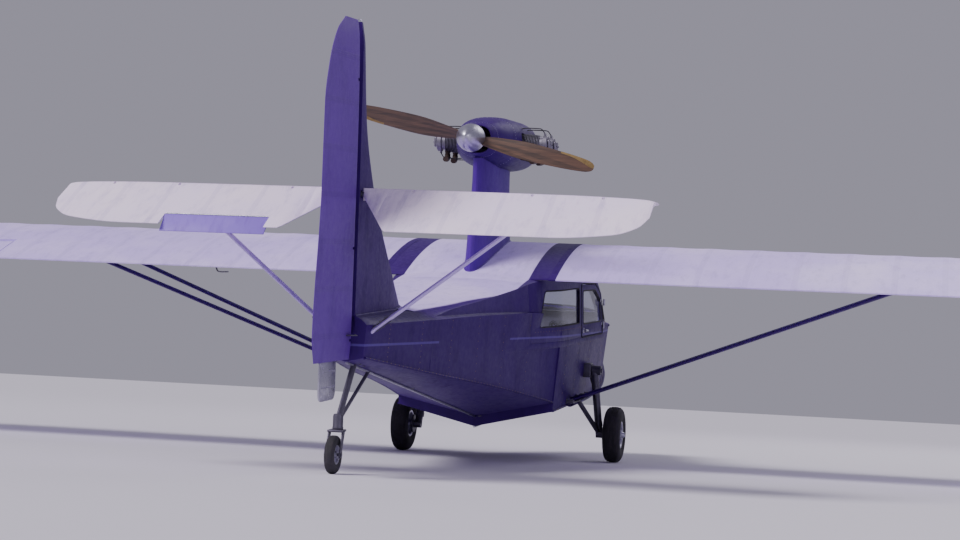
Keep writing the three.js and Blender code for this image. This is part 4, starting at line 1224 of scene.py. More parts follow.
def finnedCylinder(side, y):
    shape, z = cylinder, nacelle["z"]
    start, bore, end = shape["start"], shape["bore"], shape["end"]
    profile = [(0.0, start - 0.02), (0.062, start - 0.02), (0.062, start + 0.012), (bore, start + 0.014)]
    for i in range(shape["fins"]):
        low = shape["finStart"] + i * shape["pitch"]
        high = low + shape["finWidth"]
        reach = shape["finRadius"] * (0.9 + 0.1 * sin(pi * i / (shape["fins"] - 1)))
        profile += [(bore, low), (reach, low + 0.0008), (reach, high - 0.0008), (bore, high)]
    profile += [(bore, end), (0.062, end + 0.004), (0.062, end + 0.03), (0.056, end + 0.036),
                (0.0, end + 0.036)]
    cover = block((-0.034, -0.046, 0.0), (0.034, 0.046, 0.022), 0.01, 3)
    cover.transform(Matrix.Translation((side * (end + 0.034), y, z))
                    @ Matrix.Rotation(radians(90) * side, 4, "Y"))
    parts = [turnedAbout(profile, (0, y, z), (side, 0, 0), 40), cover]
    for up in (-1, 1):
        plug = sided(side, [(end + 0.012, y, z + up * 0.05), (end + 0.012, y, z + up * 0.076)])
        rod = sided(side, [(0.13, y + up * 0.02, z + 0.03), (end + 0.004, y + up * 0.024, z + 0.045)])
        parts += [tubed(plug, 0.008, 12), tubed(rod, 0.007, 12)]
    nut = [(0.0, 0.0), (0.006, 0.0), (0.006, 0.006), (0.0, 0.007)]
    for offset in (-0.03, 0.03):
        parts.append(turnedAbout(nut, (side * (end + 0.056), y + offset, z), (side, 0, 0), 6))
    return parts


# Exhaust stubs turn down and back from under each cylinder, two leads run to each cylinder's plugs
def makeEngine():
    z = nacelle["z"]
    parts = [block((-0.13, 0.06, z - 0.095), (0.13, 0.66, z + 0.08), 0.016, 3),
             block((-0.1, 0.12, z - 0.135), (0.1, 0.6, z - 0.08), 0.014, 3)]
    for x in (-0.045, 0.045):
        parts.append(block((x - 0.02, 0.15, z - 0.172), (x + 0.02, 0.56, z - 0.13), 0.004))
    pipes, leads = [], []
    for side in sides.values():
        for y in cylinder["ys"]:
            parts += finnedCylinder(side, y)
            pipe = [(0.315, y, z - 0.04), (0.315, y, z - 0.085), (0.312, y - 0.02, z - 0.108),
                    (0.305, y - 0.06, z - 0.118), (0.3, y - 0.12, z - 0.12)]
            pipes.append(tubed(smoothPath(sided(side, pipe), 20), 0.019, 20))
            for up in (-1, 1):
                lead = [(0.362, y, z + up * 0.075), (0.33, y - 0.01, z + up * 0.108),
                        (0.24, y - 0.02, z + up * 0.11), (0.12, 0.3, z + up * 0.085)]
                leads.append(tubed(smoothPath(sided(side, lead), 16), 0.0035, 8))
    shaft = [(0.0, 0.0), (0.032, 0.0), (0.032, 0.3), (0.04, 0.31), (0.052, 0.34), (0.052, 0.4),
             (0.0, 0.42)]
    parts.append(turnedAbout(shaft, (0, airscrew["y"] + 0.0803, z), (0, 1, 0), 40))
    placed("engine_block", joined(parts), "engine", "engine", "engine_metal")
    placed("exhaust_stubs", joined(pipes), "exhaust")
    placed("ignition_leads", joined(leads), "tyre")


def smoothPath(points, count):
    at = curveThrough([(i, *point) for i, point in enumerate(points)])
    return [Vector(at(t)) for t in evenly(0, len(points) - 1, count)]


# One point of a blade's section: flat-bottomed, the cambered side forward and the leading edge at a = 0
def bladePoint(sign, r, a, grow=0.0):
    chord, thick, twist = curveThrough(airscrew["stations"])(r)
    twist = radians(twist)
    u = cos(a) * (chord / 2 + grow)
    side = 1.0 if sin(a) > 0 else 0.62
    v = sin(a) * (thick / 2 * side * (1 + 0.25 * cos(a)) + grow) + 0.28 * thick * sin(a) ** 2
    return (sign * r, u * sin(twist) + v * cos(twist), sign * (u * cos(twist) - v * sin(twist)))


def bladeMesh(sign):
    low, high = airscrew["stations"][0][0], airscrew["stations"][-1][0]
    places = evenly(low, high - 0.03, 44) + [high - 0.03 + 0.03 * sin(pi / 2 * k / 8) for k in range(1, 9)]
    return lofted([[bladePoint(sign, r, a) for a in anglesRound(airscrew["around"])] for r in places])


# The metal sheath over a blade's leading edge, wider towards the tip
def tipSheath(sign):
    start, rings = airscrew["metalFrom"], []
    for r in evenly(start, 0.8352, 22):
        reach = 40 + 70 * ((r - start) / 0.235) ** 2
        angles = [radians(reach * (i / 6.5 - 1)) for i in range(14)]
        ring = [bladePoint(sign, min(r, 0.835), a, 0.0006) for a in angles]
        rings.append([(sign * r, y, z) for _, y, z in ring])
    return lofted(rings)


def makePropeller():
    axis = (0, airscrew["y"], nacelle["z"])
    place = Matrix.Translation(axis) @ Matrix.Rotation(radians(airscrew["turn"]), 4, "Y")
    bolt = [(0.0, 0.0), (0.008, 0.0), (0.008, 0.006), (0.0, 0.0065)]
    bolts = [turnedAbout(bolt, (0.055 * cos(a), 0.079, 0.055 * sin(a)), (0, 1, 0), 6)
             for a in anglesRound(6)]
    spinner = turnedAbout(airscrew["hub"], (0, 0, 0), (0, 1, 0), 64)
    blades = [bladeMesh(1), bladeMesh(-1)]
    for name, parts, paint, smooth, *replaced in (
            ("propeller_blades", blades, "propeller", 40, "propeller", "propeller_wood"),
            ("spinner", [spinner], "aluminium", 50),
            ("propeller_tip_metal", [tipSheath(-1), tipSheath(1)], "brass", 32),
            ("propeller_bolts", bolts, "steel", 32)):
        mesh = joined(parts)
        mesh.transform(place)
        placed(name, mesh, paint, *replaced, body="propeller", smooth=smooth)


# Struts: streamlined tube, blunt in front and fine behind, with fork ends and bolts
struts = {
    "wing": {"chord": 0.068, "thick": 0.028, "feet": [(0.7, 0.7), (0.545, 0.06)],
             "foot": (0.56, 0.17), "top": (2.9, 1.08)},
    "tail": {"chord": 0.038, "thick": 0.023, "foot": (0.095, -3.13, 0.73), "top": (1.0, -2.99, 1.445)},
    "float": {"chord": 0.052, "thick": 0.022, "ys": [(0.7, 0.64), (0.26, 0.2)], "foot": 0.5, "top": 1.075},
}


def streamlined(start, end, chord, thick, sections=24, up=(0, 0, 1)):
    basis = basisAlong(start, end, up)
    flip = -1 if (basis @ Vector((1, 0, 0))).y < 0 else 1
    ring = [basis @ Vector((flip * (cos(a) * chord / 2), sin(a) * thick / 2 * (1 + 0.28 * cos(a)), 0))
            for a in anglesRound(sections)]
    return lofted([[Vector(place) + point for point in ring] for place in (start, end)])


def plate(points, thick, normal, width=0.0012):
    lift = Vector(normal).normalized() * thick / 2
    return eased(lofted([[Vector(p) - lift for p in points], [Vector(p) + lift for p in points]]), width)


def boltHead(at, axis, radius, height):
    head = [(0.0, 0.0), (radius, 0.0), (radius, height * 0.8), (radius * 0.75, height), (0.0, height)]
    return turnedAbout(head, at, axis, 6)


def forkEnd(end, other, chord, thick):
    end, other = Vector(end), Vector(other)
    basis = basisAlong(end, other)
    across, along, normal = basis @ Vector((1, 0, 0)), (other - end).normalized(), basis @ Vector((0, 1, 0))
    parts = []
    for side in (-1, 1):
        shift = normal * side * (thick / 2 + 0.0025)
        points = [end + shift - along * 0.03 + across * w for w in (-chord * 0.22, chord * 0.22)]
        points += [end + shift + along * 0.075 + across * w for w in (chord * 0.36, -chord * 0.36)]
        parts.append(plate(points, 0.004, normal))
        for place in (0.02, 0.055):
            parts.append(boltHead(end + shift + along * place + normal * side * 0.002, normal * side,
                                  chord * 0.12, 0.005))
    return parts


def addStrut(node, shape, paint, slot, foot, top, nearEnds):
    foot, top = Vector(foot), Vector(top)
    section = shape["chord"], shape["thick"]
    placed(node + "_tube", streamlined(foot, top, *section), paint, node, slot, smooth=40)
    low, high = [foot.lerp(top, share) for share in nearEnds]
    ends = forkEnd(low, top, *section) + forkEnd(high, foot, *section)
    placed(node + "_ends", joined(ends), "steel")


def makeStruts():
    for name, side in sides.items():
        shape = struts["wing"]
        for place, (footY, topY) in zip(("front", "rear"), shape["feet"]):
            (footX, footZ), (topX, topZ) = shape["foot"], shape["top"]
            # The wing struts' dark paint is painted shade
            addStrut("wing_strut_%s_%s" % (place, name), shape, "shadedStrut", "hull_paint",
                     (side * footX, footY, footZ), (side * topX, topY, topZ), (0.012, 0.966))
        shape = struts["tail"]
        foot, top = sided(side, (shape["foot"], shape["top"]))
        addStrut("tail_strut_" + name, shape, "strut", "wing_paint", foot, top, (0.06, 0.97))


# Wing-tip floats: chined bottoms with a step
tipFloat = {
    "x": 4.76,
    "aft": [(-0.15, 0.02, 0.47, 0.49), (0.06, 0.105, 0.42, 0.52), (0.25, 0.132, 0.372, 0.536),
            (0.43, 0.142, 0.33, 0.545)],
    "fore": [(0.43, 0.142, 0.318, 0.545), (0.76, 0.138, 0.322, 0.545), (0.98, 0.092, 0.372, 0.54),
             (1.07, 0.052, 0.425, 0.529), (1.11, 0.022, 0.47, 0.515)],
}


def floatRing(x0, y, half, low, high):
    tall = high - low
    halfRing = [(0.0, low), (half * 0.4, low + tall * 0.17), (half * 0.8, low + tall * 0.38),
                (half * 0.95, low + tall * 0.5), (half, low + tall * 0.68)]
    for k in range(1, 9):
        a = pi / 2 * k / 8
        halfRing.append((half * cos(a) ** 0.8 if k < 8 else 0.0, low + tall * (0.68 + 0.32 * sin(a))))
    ring = mirroredRing([(px, y, pz) for px, pz in halfRing])
    return [(x0 + px, py, pz) for px, py, pz in ring]


def makeFloats():
    shape = struts["float"]
    for name, side in sides.items():
        x0 = side * tipFloat["x"]
        halves = []
        for rows in (tipFloat["aft"], tipFloat["fore"]):
            at = curveThrough(rows)
            halves.append(lofted([floatRing(x0, y, *at(y)) for y in evenly(rows[0][0], rows[-1][0], 26)]))
        parts = [eased(combined(halves[0], ("UNION", halves[1])), 0.0015, 2, 30)]
        fittings = []
        for low, high in (((0.68, 0.545), (0.22, 1.03)), ((0.28, 0.545), (0.62, 1.03))):
            fittings.append(tubed([(x0, *low), (x0, *high)], 0.0022, 8))
        for y0, y1 in shape["ys"]:
            parts.append(streamlined((x0, y0, shape["foot"]), (x0, y1, shape["top"]), shape["chord"],
                                     shape["thick"], up=(1, 0, 0)))
            corners = [(x0 + dx, y0 + dy, 0.547) for dx, dy in (
                (-0.04, -0.05), (0.04, -0.05), (0.04, 0.05), (-0.04, 0.05))]
            fittings.append(plate(corners, 0.005, (0, 0, 1)))
            for dx in (-0.028, 0.028):
                for dy in (-0.038, 0.038):
                    fittings.append(boltHead((x0 + dx, y0 + dy, 0.549), (0, 0, 1), 0.006, 0.004))
        placed("tip_float_body_" + name, joined(parts), "fin", "tip_float_" + name, "hull_paint")
        placed("tip_float_fittings_" + name, joined(fittings), "steel")


# Main wheels and legs, tail wheel and its swivelling fork
mainWheel = {
    "x": 0.78, "y": 1.15, "z": -0.105, "radius": 0.1995, "rim": 0.092, "half": 0.063, "axle": 0.015,
    "around": 112, "treadHigh": 0.0028, "treadCount": 64, "treadWidth": 0.0108, "treadTurn": 0.785,
    "treadRows": [(0.0, 0.0), (-0.0165, 0.0009), (0.0165, 0.0009), (-0.031, 0.0042), (0.031, 0.0042)],
}
tailWheel = {
    "y": -3.38, "swivelY": -3.31, "z": 0.111524, "radius": 0.0995, "rim": 0.05, "half": 0.026,
    "axle": 0.008, "crown": 0.114,
}
# Share of the way from bead to tread, and share of the half width there
tyreSide = [
    (0.0, 0.72), (0.06, 0.84), (0.22, 0.94), (0.42, 0.995), (0.58, 0.99), (0.74, 0.93), (0.86, 0.82),
    (0.94, 0.66), (0.985, 0.42), (1.0, 0.16),
]


def tyreProfile(radius, half, bead):
    side = [(i, bead + (radius - bead) * out, half * wide) for i, (out, wide) in enumerate(tyreSide)]
    at = curveThrough(side)
    fine = [tuple(at(t)) for t in evenly(0, len(side) - 1, 30)]
    return fine + [(r, -x) for r, x in reversed(fine)]


def rimProfile(bore, rim, half):
    side = [(bore + out, half * wide) for out, wide in (
        (0.0, 0.92), (0.012, 0.94), (0.02, 0.86), (0.024, 0.4), (0.03, 0.3))]
    side += [(rim + out, half * wide) for out, wide in (
        (-0.022, 0.3), (-0.016, 0.38), (-0.012, 0.7), (-0.006, 0.8), (0.004, 0.82), (0.005, 0.78),
        (0.0, 0.72))]
    return side + [(r, -x) for r, x in reversed(side)]


# The end of every node tree that makes a mesh: real geometry with its material
def finishMesh(tree, last, given, result):
    real = addNode(tree, "GeometryNodeRealizeInstances", {"Geometry": last.outputs[0]})
    painted = addNode(tree, "GeometryNodeSetMaterial", {
        "Geometry": real.outputs[0], "Material": given["Material"]})
    fill(tree, result, {"Geometry": painted.outputs[0]})


def fromNodes(tree, mesh, values):
    holder = newObject("holder", mesh)
    modifier = holder.modifiers.new("made", "NODES")
    modifier.node_group = tree
    for item in tree.interface.items_tree:
        if item.in_out == "INPUT" and item.name in values:
            modifier[item.identifier] = values[item.name]
    bpy.context.view_layer.update()
    result = applied(holder).data
    bpy.data.objects.remove(holder)
    return result


# One row of tread blocks round a tyre, standing corner on
def makeTread():
    inputs = [("Count", "Int"), ("Radius", "Float"), ("Offset", "Float"), ("Width", "Float"),
              ("Height", "Float"), ("Material", "Material")]
    tree, given, result = newGroup("treadRow", inputs, [("Geometry", "Geometry")], "GeometryNodeTree")
    circle = addNode(tree, "GeometryNodeMeshCircle", {
        "Vertices": given["Count"], "Radius": given["Radius"]})
    size = addNode(tree, "ShaderNodeCombineXYZ", {
        "X": given["Width"], "Y": given["Width"], "Z": given["Height"]})
    cube = addNode(tree, "GeometryNodeMeshCube", {"Size": size.outputs[0]})
    turned = addNode(tree, "GeometryNodeTransform", {
        "Geometry": cube.outputs["Mesh"], "Rotation": (0.0, 0.0, mainWheel["treadTurn"])})
    place = tree.nodes.new("GeometryNodeInputPosition")
    radial = addNode(tree, "FunctionNodeAlignRotationToVector", {"Vector": place.outputs[0]}, axis="Z")
    blocks = addNode(tree, "GeometryNodeInstanceOnPoints", {
        "Points": circle.outputs["Mesh"], "Instance": turned.outputs["Geometry"],
        "Rotation": radial.outputs[0]})
    shift = addNode(tree, "ShaderNodeCombineXYZ", {"X": given["Offset"]})
    upright = addNode(tree, "GeometryNodeTransform", {
        "Geometry": blocks.outputs[0], "Rotation": (0.0, pi / 2, 0.0), "Translation": shift.outputs[0]})
    finishMesh(tree, upright, given, result)
    return tree


def makeMainWheel(name, side, tread):
    shape = mainWheel
    half, axle = shape["half"], shape["axle"]
    centre = Vector((side * shape["x"], shape["y"], shape["z"]))
    bare = shape["radius"] - shape["treadHigh"]
    profile = tyreProfile(bare, half, shape["rim"] + 0.0005)
    tyre = [turnedAbout(profile, centre, (1, 0, 0), shape["around"])]
    for offset, drop in shape["treadRows"]:
        row = fromNodes(tread, bpy.data.meshes.new("none"), {
            "Radius": bare - drop, "Count": shape["treadCount"], "Offset": offset,
            "Width": shape["treadWidth"], "Height": 2 * shape["treadHigh"], "Material": paints["tyre"]})
        row.transform(Matrix.Translation(centre))
        tyre.append(row)
    wheel = "main_wheel_" + name
    placed("main_tyre_rubber_" + name, joined(tyre), "tyre", "main_tyre_" + name, "tyre", wheel, 30)
    rim = [turnedAbout(rimProfile(axle + 0.0005, shape["rim"], half), centre, (1, 0, 0), 72)]
    for face in (-1, 1):
        for a in anglesRound(6):
            at = centre + Vector((face * half * 0.3, 0.053 * cos(a), 0.053 * sin(a)))
            rim.append(boltHead(at, (face, 0, 0), 0.0075, 0.008))
    cap = [(0.0, half + 0.016), (0.01, half + 0.0155), (0.018, half + 0.011), (0.023, half - 0.004),
           (0.0, half - 0.004)]
    rim.append(turnedAbout(cap, centre, (side, 0, 0), 40))
    stem = centre + Vector((side * half * 0.42, 0, -0.07))
    rim.append(tubed([stem, stem + Vector((side * 0.02, 0, 0.012))], 0.0035, 10))
    placed("main_rim_metal_" + name, joined(rim), "aluminium", "main_rim_" + name, "aluminium", wheel, 30)


def makeLeg(name, side):
    shape = mainWheel

    def at(x, z=shape["z"], y=shape["y"]):
        return (side * x, y, z)

    inside, outside = shape["x"] - shape["half"], shape["x"] + shape["half"]
    tubes = [
        (at(0.618, 0.36), at(0.672), 0.027, 32), (at(0.604, 0.35), at(0.668, 0.35), 0.034, 32),
        (at(0.535, 0.178, 0.871), at(0.672), 0.017, 24), (at(0.65), at(inside - 0.008), 0.03, 32),
        (at(inside - 0.01), at(outside + 0.008), shape["axle"], 24),
        (at(0.6205, 0.335), at(0.6225, 0.318), 0.031, 32),
        (at(0.66, -0.02), at(0.664, -0.05), 0.0315, 32),
    ]
    leg = [tubed((start, end), radius, sections) for start, end, radius, sections in tubes]
    drum = [(0.0, 0.0), (0.062, 0.0), (0.066, 0.004), (0.066, 0.012), (0.0, 0.012)]
    leg.append(turnedAbout(drum, at(inside - 0.016), (side, 0, 0), 48))
    leg.append(boltHead(at(0.668, 0.35), (side, 0, 0), 0.018, 0.01))
    placed("gear_leg_tubes_" + name, joined(leg), "steel", "gear_leg_" + name, "steel", smooth=40)
    hose = [at(0.6, 0.3, 1.1), at(0.63, 0.2, 1.112), at(0.655, 0.02, 1.118), at(0.665, -0.08, 1.112),
            at(0.7, -0.09, 1.12)]
    placed("brake_hose_" + name, tubed(smoothPath(hose, 24), 0.0045, 10), "tyre")
    lugs = [block((side * 0.52, 1.095, 0.3), (side * 0.6, 1.205, 0.4), 0.006, 3),
            block((side * 0.5, 0.49, 0.15), (side * 0.59, 0.755, 0.178), 0.004, 3)]
    bolts = [((side * 0.6, y, z), (side, 0, 0)) for y in (1.11, 1.19) for z in (0.315, 0.385)]
    bolts += [((side * 0.578, y, 0.178), (0, 0, 1)) for y in (0.51, 0.58, 0.66, 0.735)]
    lugs += [boltHead(place, axis, 0.007, 0.005) for place, axis in bolts]
    placed("hull_lugs_" + name, joined(lugs), "steel")


def makeTailWheel():
    shape = tailWheel
    axle, middle = shape["axle"], (0, shape["y"], shape["z"])
    profile = tyreProfile(shape["radius"], shape["half"], shape["rim"] + 0.0004)
    tyre = turnedAbout(profile, middle, (1, 0, 0), 80)
    placed("tail_tyre_rubber", tyre, "tyre", "tail_tyre", "tyre", "tail_wheel", 30)
    profile = [(axle + 0.0004, 0.023), (0.018, 0.023), (0.02, 0.01), (0.04, 0.009), (0.044, 0.02),
               (0.05, 0.021)]
    profile += [(r, -x) for r, x in reversed(profile)]
    rim = [turnedAbout(profile, middle, (1, 0, 0), 56)]
    for face in (-1, 1):
        for a in anglesRound(4):
            spot = Vector((face * 0.009, 0.03 * cos(pi / 4 + a), 0.03 * sin(pi / 4 + a)))
            rim.append(boltHead(Vector(middle) + spot, (face, 0, 0), 0.0045, 0.004))
    placed("tail_rim_metal", joined(rim), "aluminium", "tail_rim", "aluminium", "tail_wheel", 30)


def makeTailLeg():
    shape = tailWheel
    swivelY, crown = shape["swivelY"], shape["z"] + shape["crown"]
    pivot = (0, swivelY, 0)
    low, high = crown + 0.0123, crown + 0.092
    housing = [(0.0125, low), (0.027, low), (0.029, low + 0.004), (0.029, low + 0.01), (0.027, low + 0.014),
               (0.027, high - 0.012), (0.024, high - 0.002), (0.018, high), (0.0, high),
               (0.0, high - 0.012), (0.0125, high - 0.012)]
    foot = [(-0.045, -2.94, 0.556), (0.045, -2.94, 0.556), (0.045, -3.06, 0.575), (-0.045, -3.06, 0.575)]
    leg = [streamlined((0, -3.0, 0.62), (0, swivelY, high - 0.025), 0.048, 0.03, 28, up=(1, 0, 0)),
           turnedAbout(housing, pivot, (0, 0, 1), 40),
           tubed([(0, -2.7, 0.53), (0, swivelY + 0.03, high - 0.03)], 0.01, 20),
           plate(foot, 0.006, (0, 0.16, 1))]
    for x in (-0.032, 0.032):
        for y in (-2.96, -3.04):
            leg.append(boltHead((x, y, 0.556 + (y + 2.94) * -0.158), (0, -0.16, -1), 0.007, 0.012))
    placed("tail_leg_tubes", joined(leg), "steel", "tail_leg", "steel", smooth=40)

    half = shape["half"] + 0.011
    fork = [disc(0.012, crown + 0.004, high - 0.0126, pivot, (0, 0, 1), 32),
            block((-half - 0.004, swivelY - 0.06, crown), (half + 0.004, swivelY + 0.024, crown + 0.012),
                  0.004, 3)]
    for side in sides.values():
        blade = [(half, swivelY - 0.04, crown + 0.008), (half, swivelY + 0.001, crown + 0.008)]
        for a in [radians(10 - 200 * k / 8) for k in range(9)]:
            blade.append((half, shape["y"] + 0.018 * cos(a), shape["z"] + 0.018 * sin(a)))
        fork.append(plate(sided(side, blade), 0.008, (1, 0, 0)))
        nut = (side * half + side * 0.004, shape["y"], shape["z"])
        fork.append(boltHead(nut, (side, 0, 0), 0.01, 0.007))
    ends = [(x, shape["y"], shape["z"]) for x in (-half - 0.009, half + 0.009)]
    fork.append(tubed(ends, shape["axle"], 20))
    placed("tail_fork_metal", joined(fork), "steel", "tail_fork", "steel", "tail_fork", 35)


def makeWheels():
    tread = makeTread()
    for name, side in sides.items():
        makeMainWheel(name, side, tread)
        makeLeg(name, side)
    makeTailWheel()
    makeTailLeg()


# Cabin: padded seats, panel, pedals, belts, window gaskets and door furniture
cushions = {
    "voxel": 0.006, "pressure": 4.0, "frames": 20, "travel": 0.012, "piping": 0.0042, "seamPoints": 120,
    "tilt": {"seat_cushion": 0, "seat_squab": 110},
    "seams": {"seat_cushion": (-0.028, 0.028), "seat_squab": (-0.017, 0.017)},
}
panel = {
    "y": 1.8, "dials": [
        (-0.4, 0.64, 0.04), (-0.295, 0.64, 0.04), (-0.19, 0.64, 0.04), (-0.4, 0.545, 0.029),
        (-0.295, 0.545, 0.029), (0.0, 0.655, 0.04), (0.19, 0.64, 0.029), (0.27, 0.64, 0.029),
        (0.35, 0.64, 0.029), (0.19, 0.56, 0.029), (0.27, 0.56, 0.029),
    ],
}


# Where the cabin's side wall and roof are at a place
def wallX(y, z):
    footX, shoulderX, shoulderZ, crownZ = curveThrough(hullShape["cabin"])(y)
    footZ = hullShape["wallFootZ"]
    return footX + (shoulderX - footX) * (z - footZ) / (shoulderZ - footZ)


def roofZ(x, y):
    footX, shoulderX, shoulderZ, crownZ = curveThrough(hullShape["cabin"])(y)
    return shoulderZ + (crownZ - shoulderZ) * (1 - min(abs(x) / shoulderX, 1.0) ** hullShape["roofRound"])


def densely(outline):
    points = [Vector(p) for p in outline]
    result = []
    for a, b in zip(points, points[1:] + points[:1]):
        count = max(int((b - a).length / 0.03), 1)
        result += [a.lerp(b, k / count) for k in range(count)]
    return result


def blownUp(node):
    mesh = facedOut(nodes[node].data.copy())
    obj = newObject("pad", mesh)
    remesh = obj.modifiers.new("even", "REMESH")
    remesh.mode = "VOXEL"
    remesh.voxel_size = cushions["voxel"]
    bpy.context.view_layer.update()
    applied(obj)
    cloth = obj.modifiers.new("cloth", "CLOTH")
    cloth.settings.use_pressure = True
    cloth.settings.uniform_pressure_force = cushions["pressure"]
    cloth.settings.effector_weights.gravity = 0.0
    cloth.settings.quality = 4
    start = [v.co.copy() for v in obj.data.vertices]
    for step in range(1, cushions["frames"] + 1):
        bpy.context.scene.frame_set(step)
    applied(obj)
    bpy.context.scene.frame_set(1)
    for vertex, origin in zip(obj.data.vertices, start):
        move = vertex.co - origin
        if move.length > cushions["travel"]:
            vertex.co = origin + move.normalized() * cushions["travel"]
    soft = obj.modifiers.new("soft", "SMOOTH")
    soft.iterations = 3
    fine = obj.modifiers.new("fine", "SUBSURF")
    fine.levels = fine.render_levels = 1
    bpy.context.view_layer.update()
    result = applied(obj).data
    bpy.data.objects.remove(obj)
    return result


def seamAround(pad, centre, upward):
    tree = BVHTree.FromPolygons([v.co for v in pad.vertices], [tuple(p.vertices) for p in pad.polygons])
    path = []
    for angle in anglesRound(cushions["seamPoints"]):
        outward = Vector((1, 0, 0)) * cos(angle) + upward * sin(angle)
        path.append(tree.ray_cast(centre + outward * 0.5, -outward)[0])
    return looped(path, cushions["piping"])


def ownForm(node):
    mesh = facedOut(nodes[node].data.copy())
    mesh.transform(unparked)
    return mesh


def makeSeats():
    for kind, degrees in cushions["tilt"].items():
        pad = blownUp(kind + "_left")
        pad.transform(unparked)
        centre = sum([v.co for v in pad.vertices], Vector()) / len(pad.vertices)
        tilt = radians(degrees)
        upward, normal = Vector((0, cos(tilt), sin(tilt))), Vector((0, -sin(tilt), cos(tilt)))
        seams = [centre + normal * offset for offset in cushions["seams"][kind]]
        welts = joined([seamAround(pad, seam, upward) for seam in seams])
        for name, side in sides.items():
            meshes = pad.copy(), welts.copy()
            if side > 0:
                for mesh in meshes:
                    mesh.transform(Matrix.Diagonal((-1, 1, 1, 1)))
                    mesh.flip_normals()
            replaced = kind + "_" + name
            piece = placed(kind + "_pad_" + name, meshes[0], "cushion", replaced, "cushion", smooth=60)
            placed(kind + "_piping_" + name, meshes[1], "tyre", slot="tyre", smooth=60)
    for node in ("seat_base", "seat_back", "cabin_floor"):
        placed(node + "_board", eased(ownForm(node), 0.003), "wood", node, "wood")
    belts = []
    for side in sides.values():
        middle = side * 0.192
        for edge in (-1, 1):
            x = middle + edge * 0.165
            path = [(x, 0.32, 0.36), (x - edge * 0.005, 0.345, 0.44), (x - edge * 0.04, 0.42, 0.452),
                    (x - edge * 0.085, 0.52, 0.447),
                    (x - edge * 0.105, 0.6, 0.442 if edge > 0 else 0.446)]
            belts.append(tubed(smoothPath(path, 26), 0.022, 12, 0.07))
        belts.append(block((middle + 0.027, 0.593, 0.443), (middle + 0.083, 0.637, 0.455), 0.003))
    placed("seat_belts", joined(belts), "webbing", smooth=45)


def makeDials():
    face, facing = panel["y"], (0, -1, 0)
    rims, faces, marks = [], [], []
    for x, z, size in panel["dials"]:
        at = (x, face, z)
        rim = [(size, 0.002), (size * 1.16, 0.002), (size * 1.14, 0.009), (size * 1.02, 0.011),
               (size, 0.008)]
        rims.append(turnedAbout(rim, at, facing, 40))
        faces.append(disc(size * 1.05, 0.0, 0.004, at, facing, 32))
        for k in range(10):
            a = radians(-140 + 280 * k / 9)
            ends = [(x + r * sin(a), face - 0.0045, z + r * cos(a)) for r in (size * 0.76, size * 0.92)]
            marks.append(tubed(ends, 0.0012, 4))
        a = radians((x * 700 + z * 900) % 240 - 120)
        ends = [(x + r * sin(a), face - 0.0055, z + r * cos(a)) for r in (0.0, size * 0.7)]
        marks.append(tubed(ends, [0.0016, 0.0007], 6))
    for i in range(5):
        x = -0.1 + i * 0.05
        rims.append(disc(0.008, 0.0, 0.004, (x, face, 0.585), facing, 6))
        marks.append(tubed([(x, face - 0.004, 0.585), (x, face - 0.02, 0.591)], [0.002, 0.0032], 8))
    for x, size in ((-0.03, 0.014), (0.03, 0.011)):
        marks.append(tubed([(x, face, 0.615), (x, face - 0.05, 0.612)], 0.004, 10))
        knob = [(0.0, 0.045), (size * 0.7, 0.046), (size, 0.054), (size * 0.8, 0.064), (0.0, 0.067)]
        rims.append(turnedAbout(knob, (x, face, 0.612), facing, 24))
    rims.append(block((-0.5, 1.765, 0.742), (0.5, 1.83, 0.752), 0.005, 3))
    placed("panel_board", eased(ownForm("instrument_panel"), 0.002), "interior", "instrument_panel",
           "interior")
    placed("dial_rims", joined(rims), "tyre")
    placed("dial_faces", joined(faces), "dial")
    placed("dial_marks", joined(marks), "strut")


def makeControls():
    boot = [(0.0, 0.1305), (0.046, 0.1305), (0.044, 0.14), (0.032, 0.146), (0.034, 0.153), (0.022, 0.16),
            (0.023, 0.166), (0.0, 0.17)]
    stick = [(1.01, 0.15), (0.965, 0.29), (0.915, 0.44), (0.9, 0.51)]
    grip = [(0.903, 0.495), (0.894, 0.53), (0.884, 0.57), (0.874, 0.598)]
    ridges = [0.013] + [0.0165, 0.017, 0.0155] * 3 + [0.0165, 0.017, 0.016, 0.01]
    grips, pedals = [], []
    for name, side in sides.items():
        x = side * 0.2
        parts = [turnedAbout(boot, (x, 1.01, 0), (0, 0, 1), 32),
                 tubed(smoothPath([(x, *place) for place in stick], 16), 0.011, 16)]
        placed("control_stick_tube_" + name, joined(parts), "steel", "control_stick_" + name, "steel",
               smooth=40)
        grips.append(tubed(smoothPath([(x, *place) for place in grip], 14), ridges, 18))
        for px in (x - 0.075, x + 0.075):
            pedals.append(block((px - 0.042, 1.6, 0.235), (px + 0.042, 1.612, 0.335), 0.004))
            pedals.append(tubed([(px, 1.612, 0.3), (px, 1.66, 0.2), (px, 1.67, 0.15)], 0.008, 12))
            for k in range(4):
                z = 0.25 + k * 0.023
                pedals.append(tubed([(px - 0.036, 1.599, z), (px + 0.036, 1.599, z)], 0.003, 8))
        pedals.append(tubed([(side * 0.06, 1.67, 0.155), (side * 0.34, 1.67, 0.155)], 0.01, 16))
    placed("stick_grips", joined(grips), "tyre", smooth=50)
    placed("rudder_pedals", joined(pedals), "aluminium")


# A bead along an outline on the cabin's side wall, a little inside or outside its face
def wallBead(outline, side, out, radius, sections=8):
    path = [(side * (wallX(y, z) + out), y, z) for y, z in densely(outline)]
    return looped(path, radius, sections)


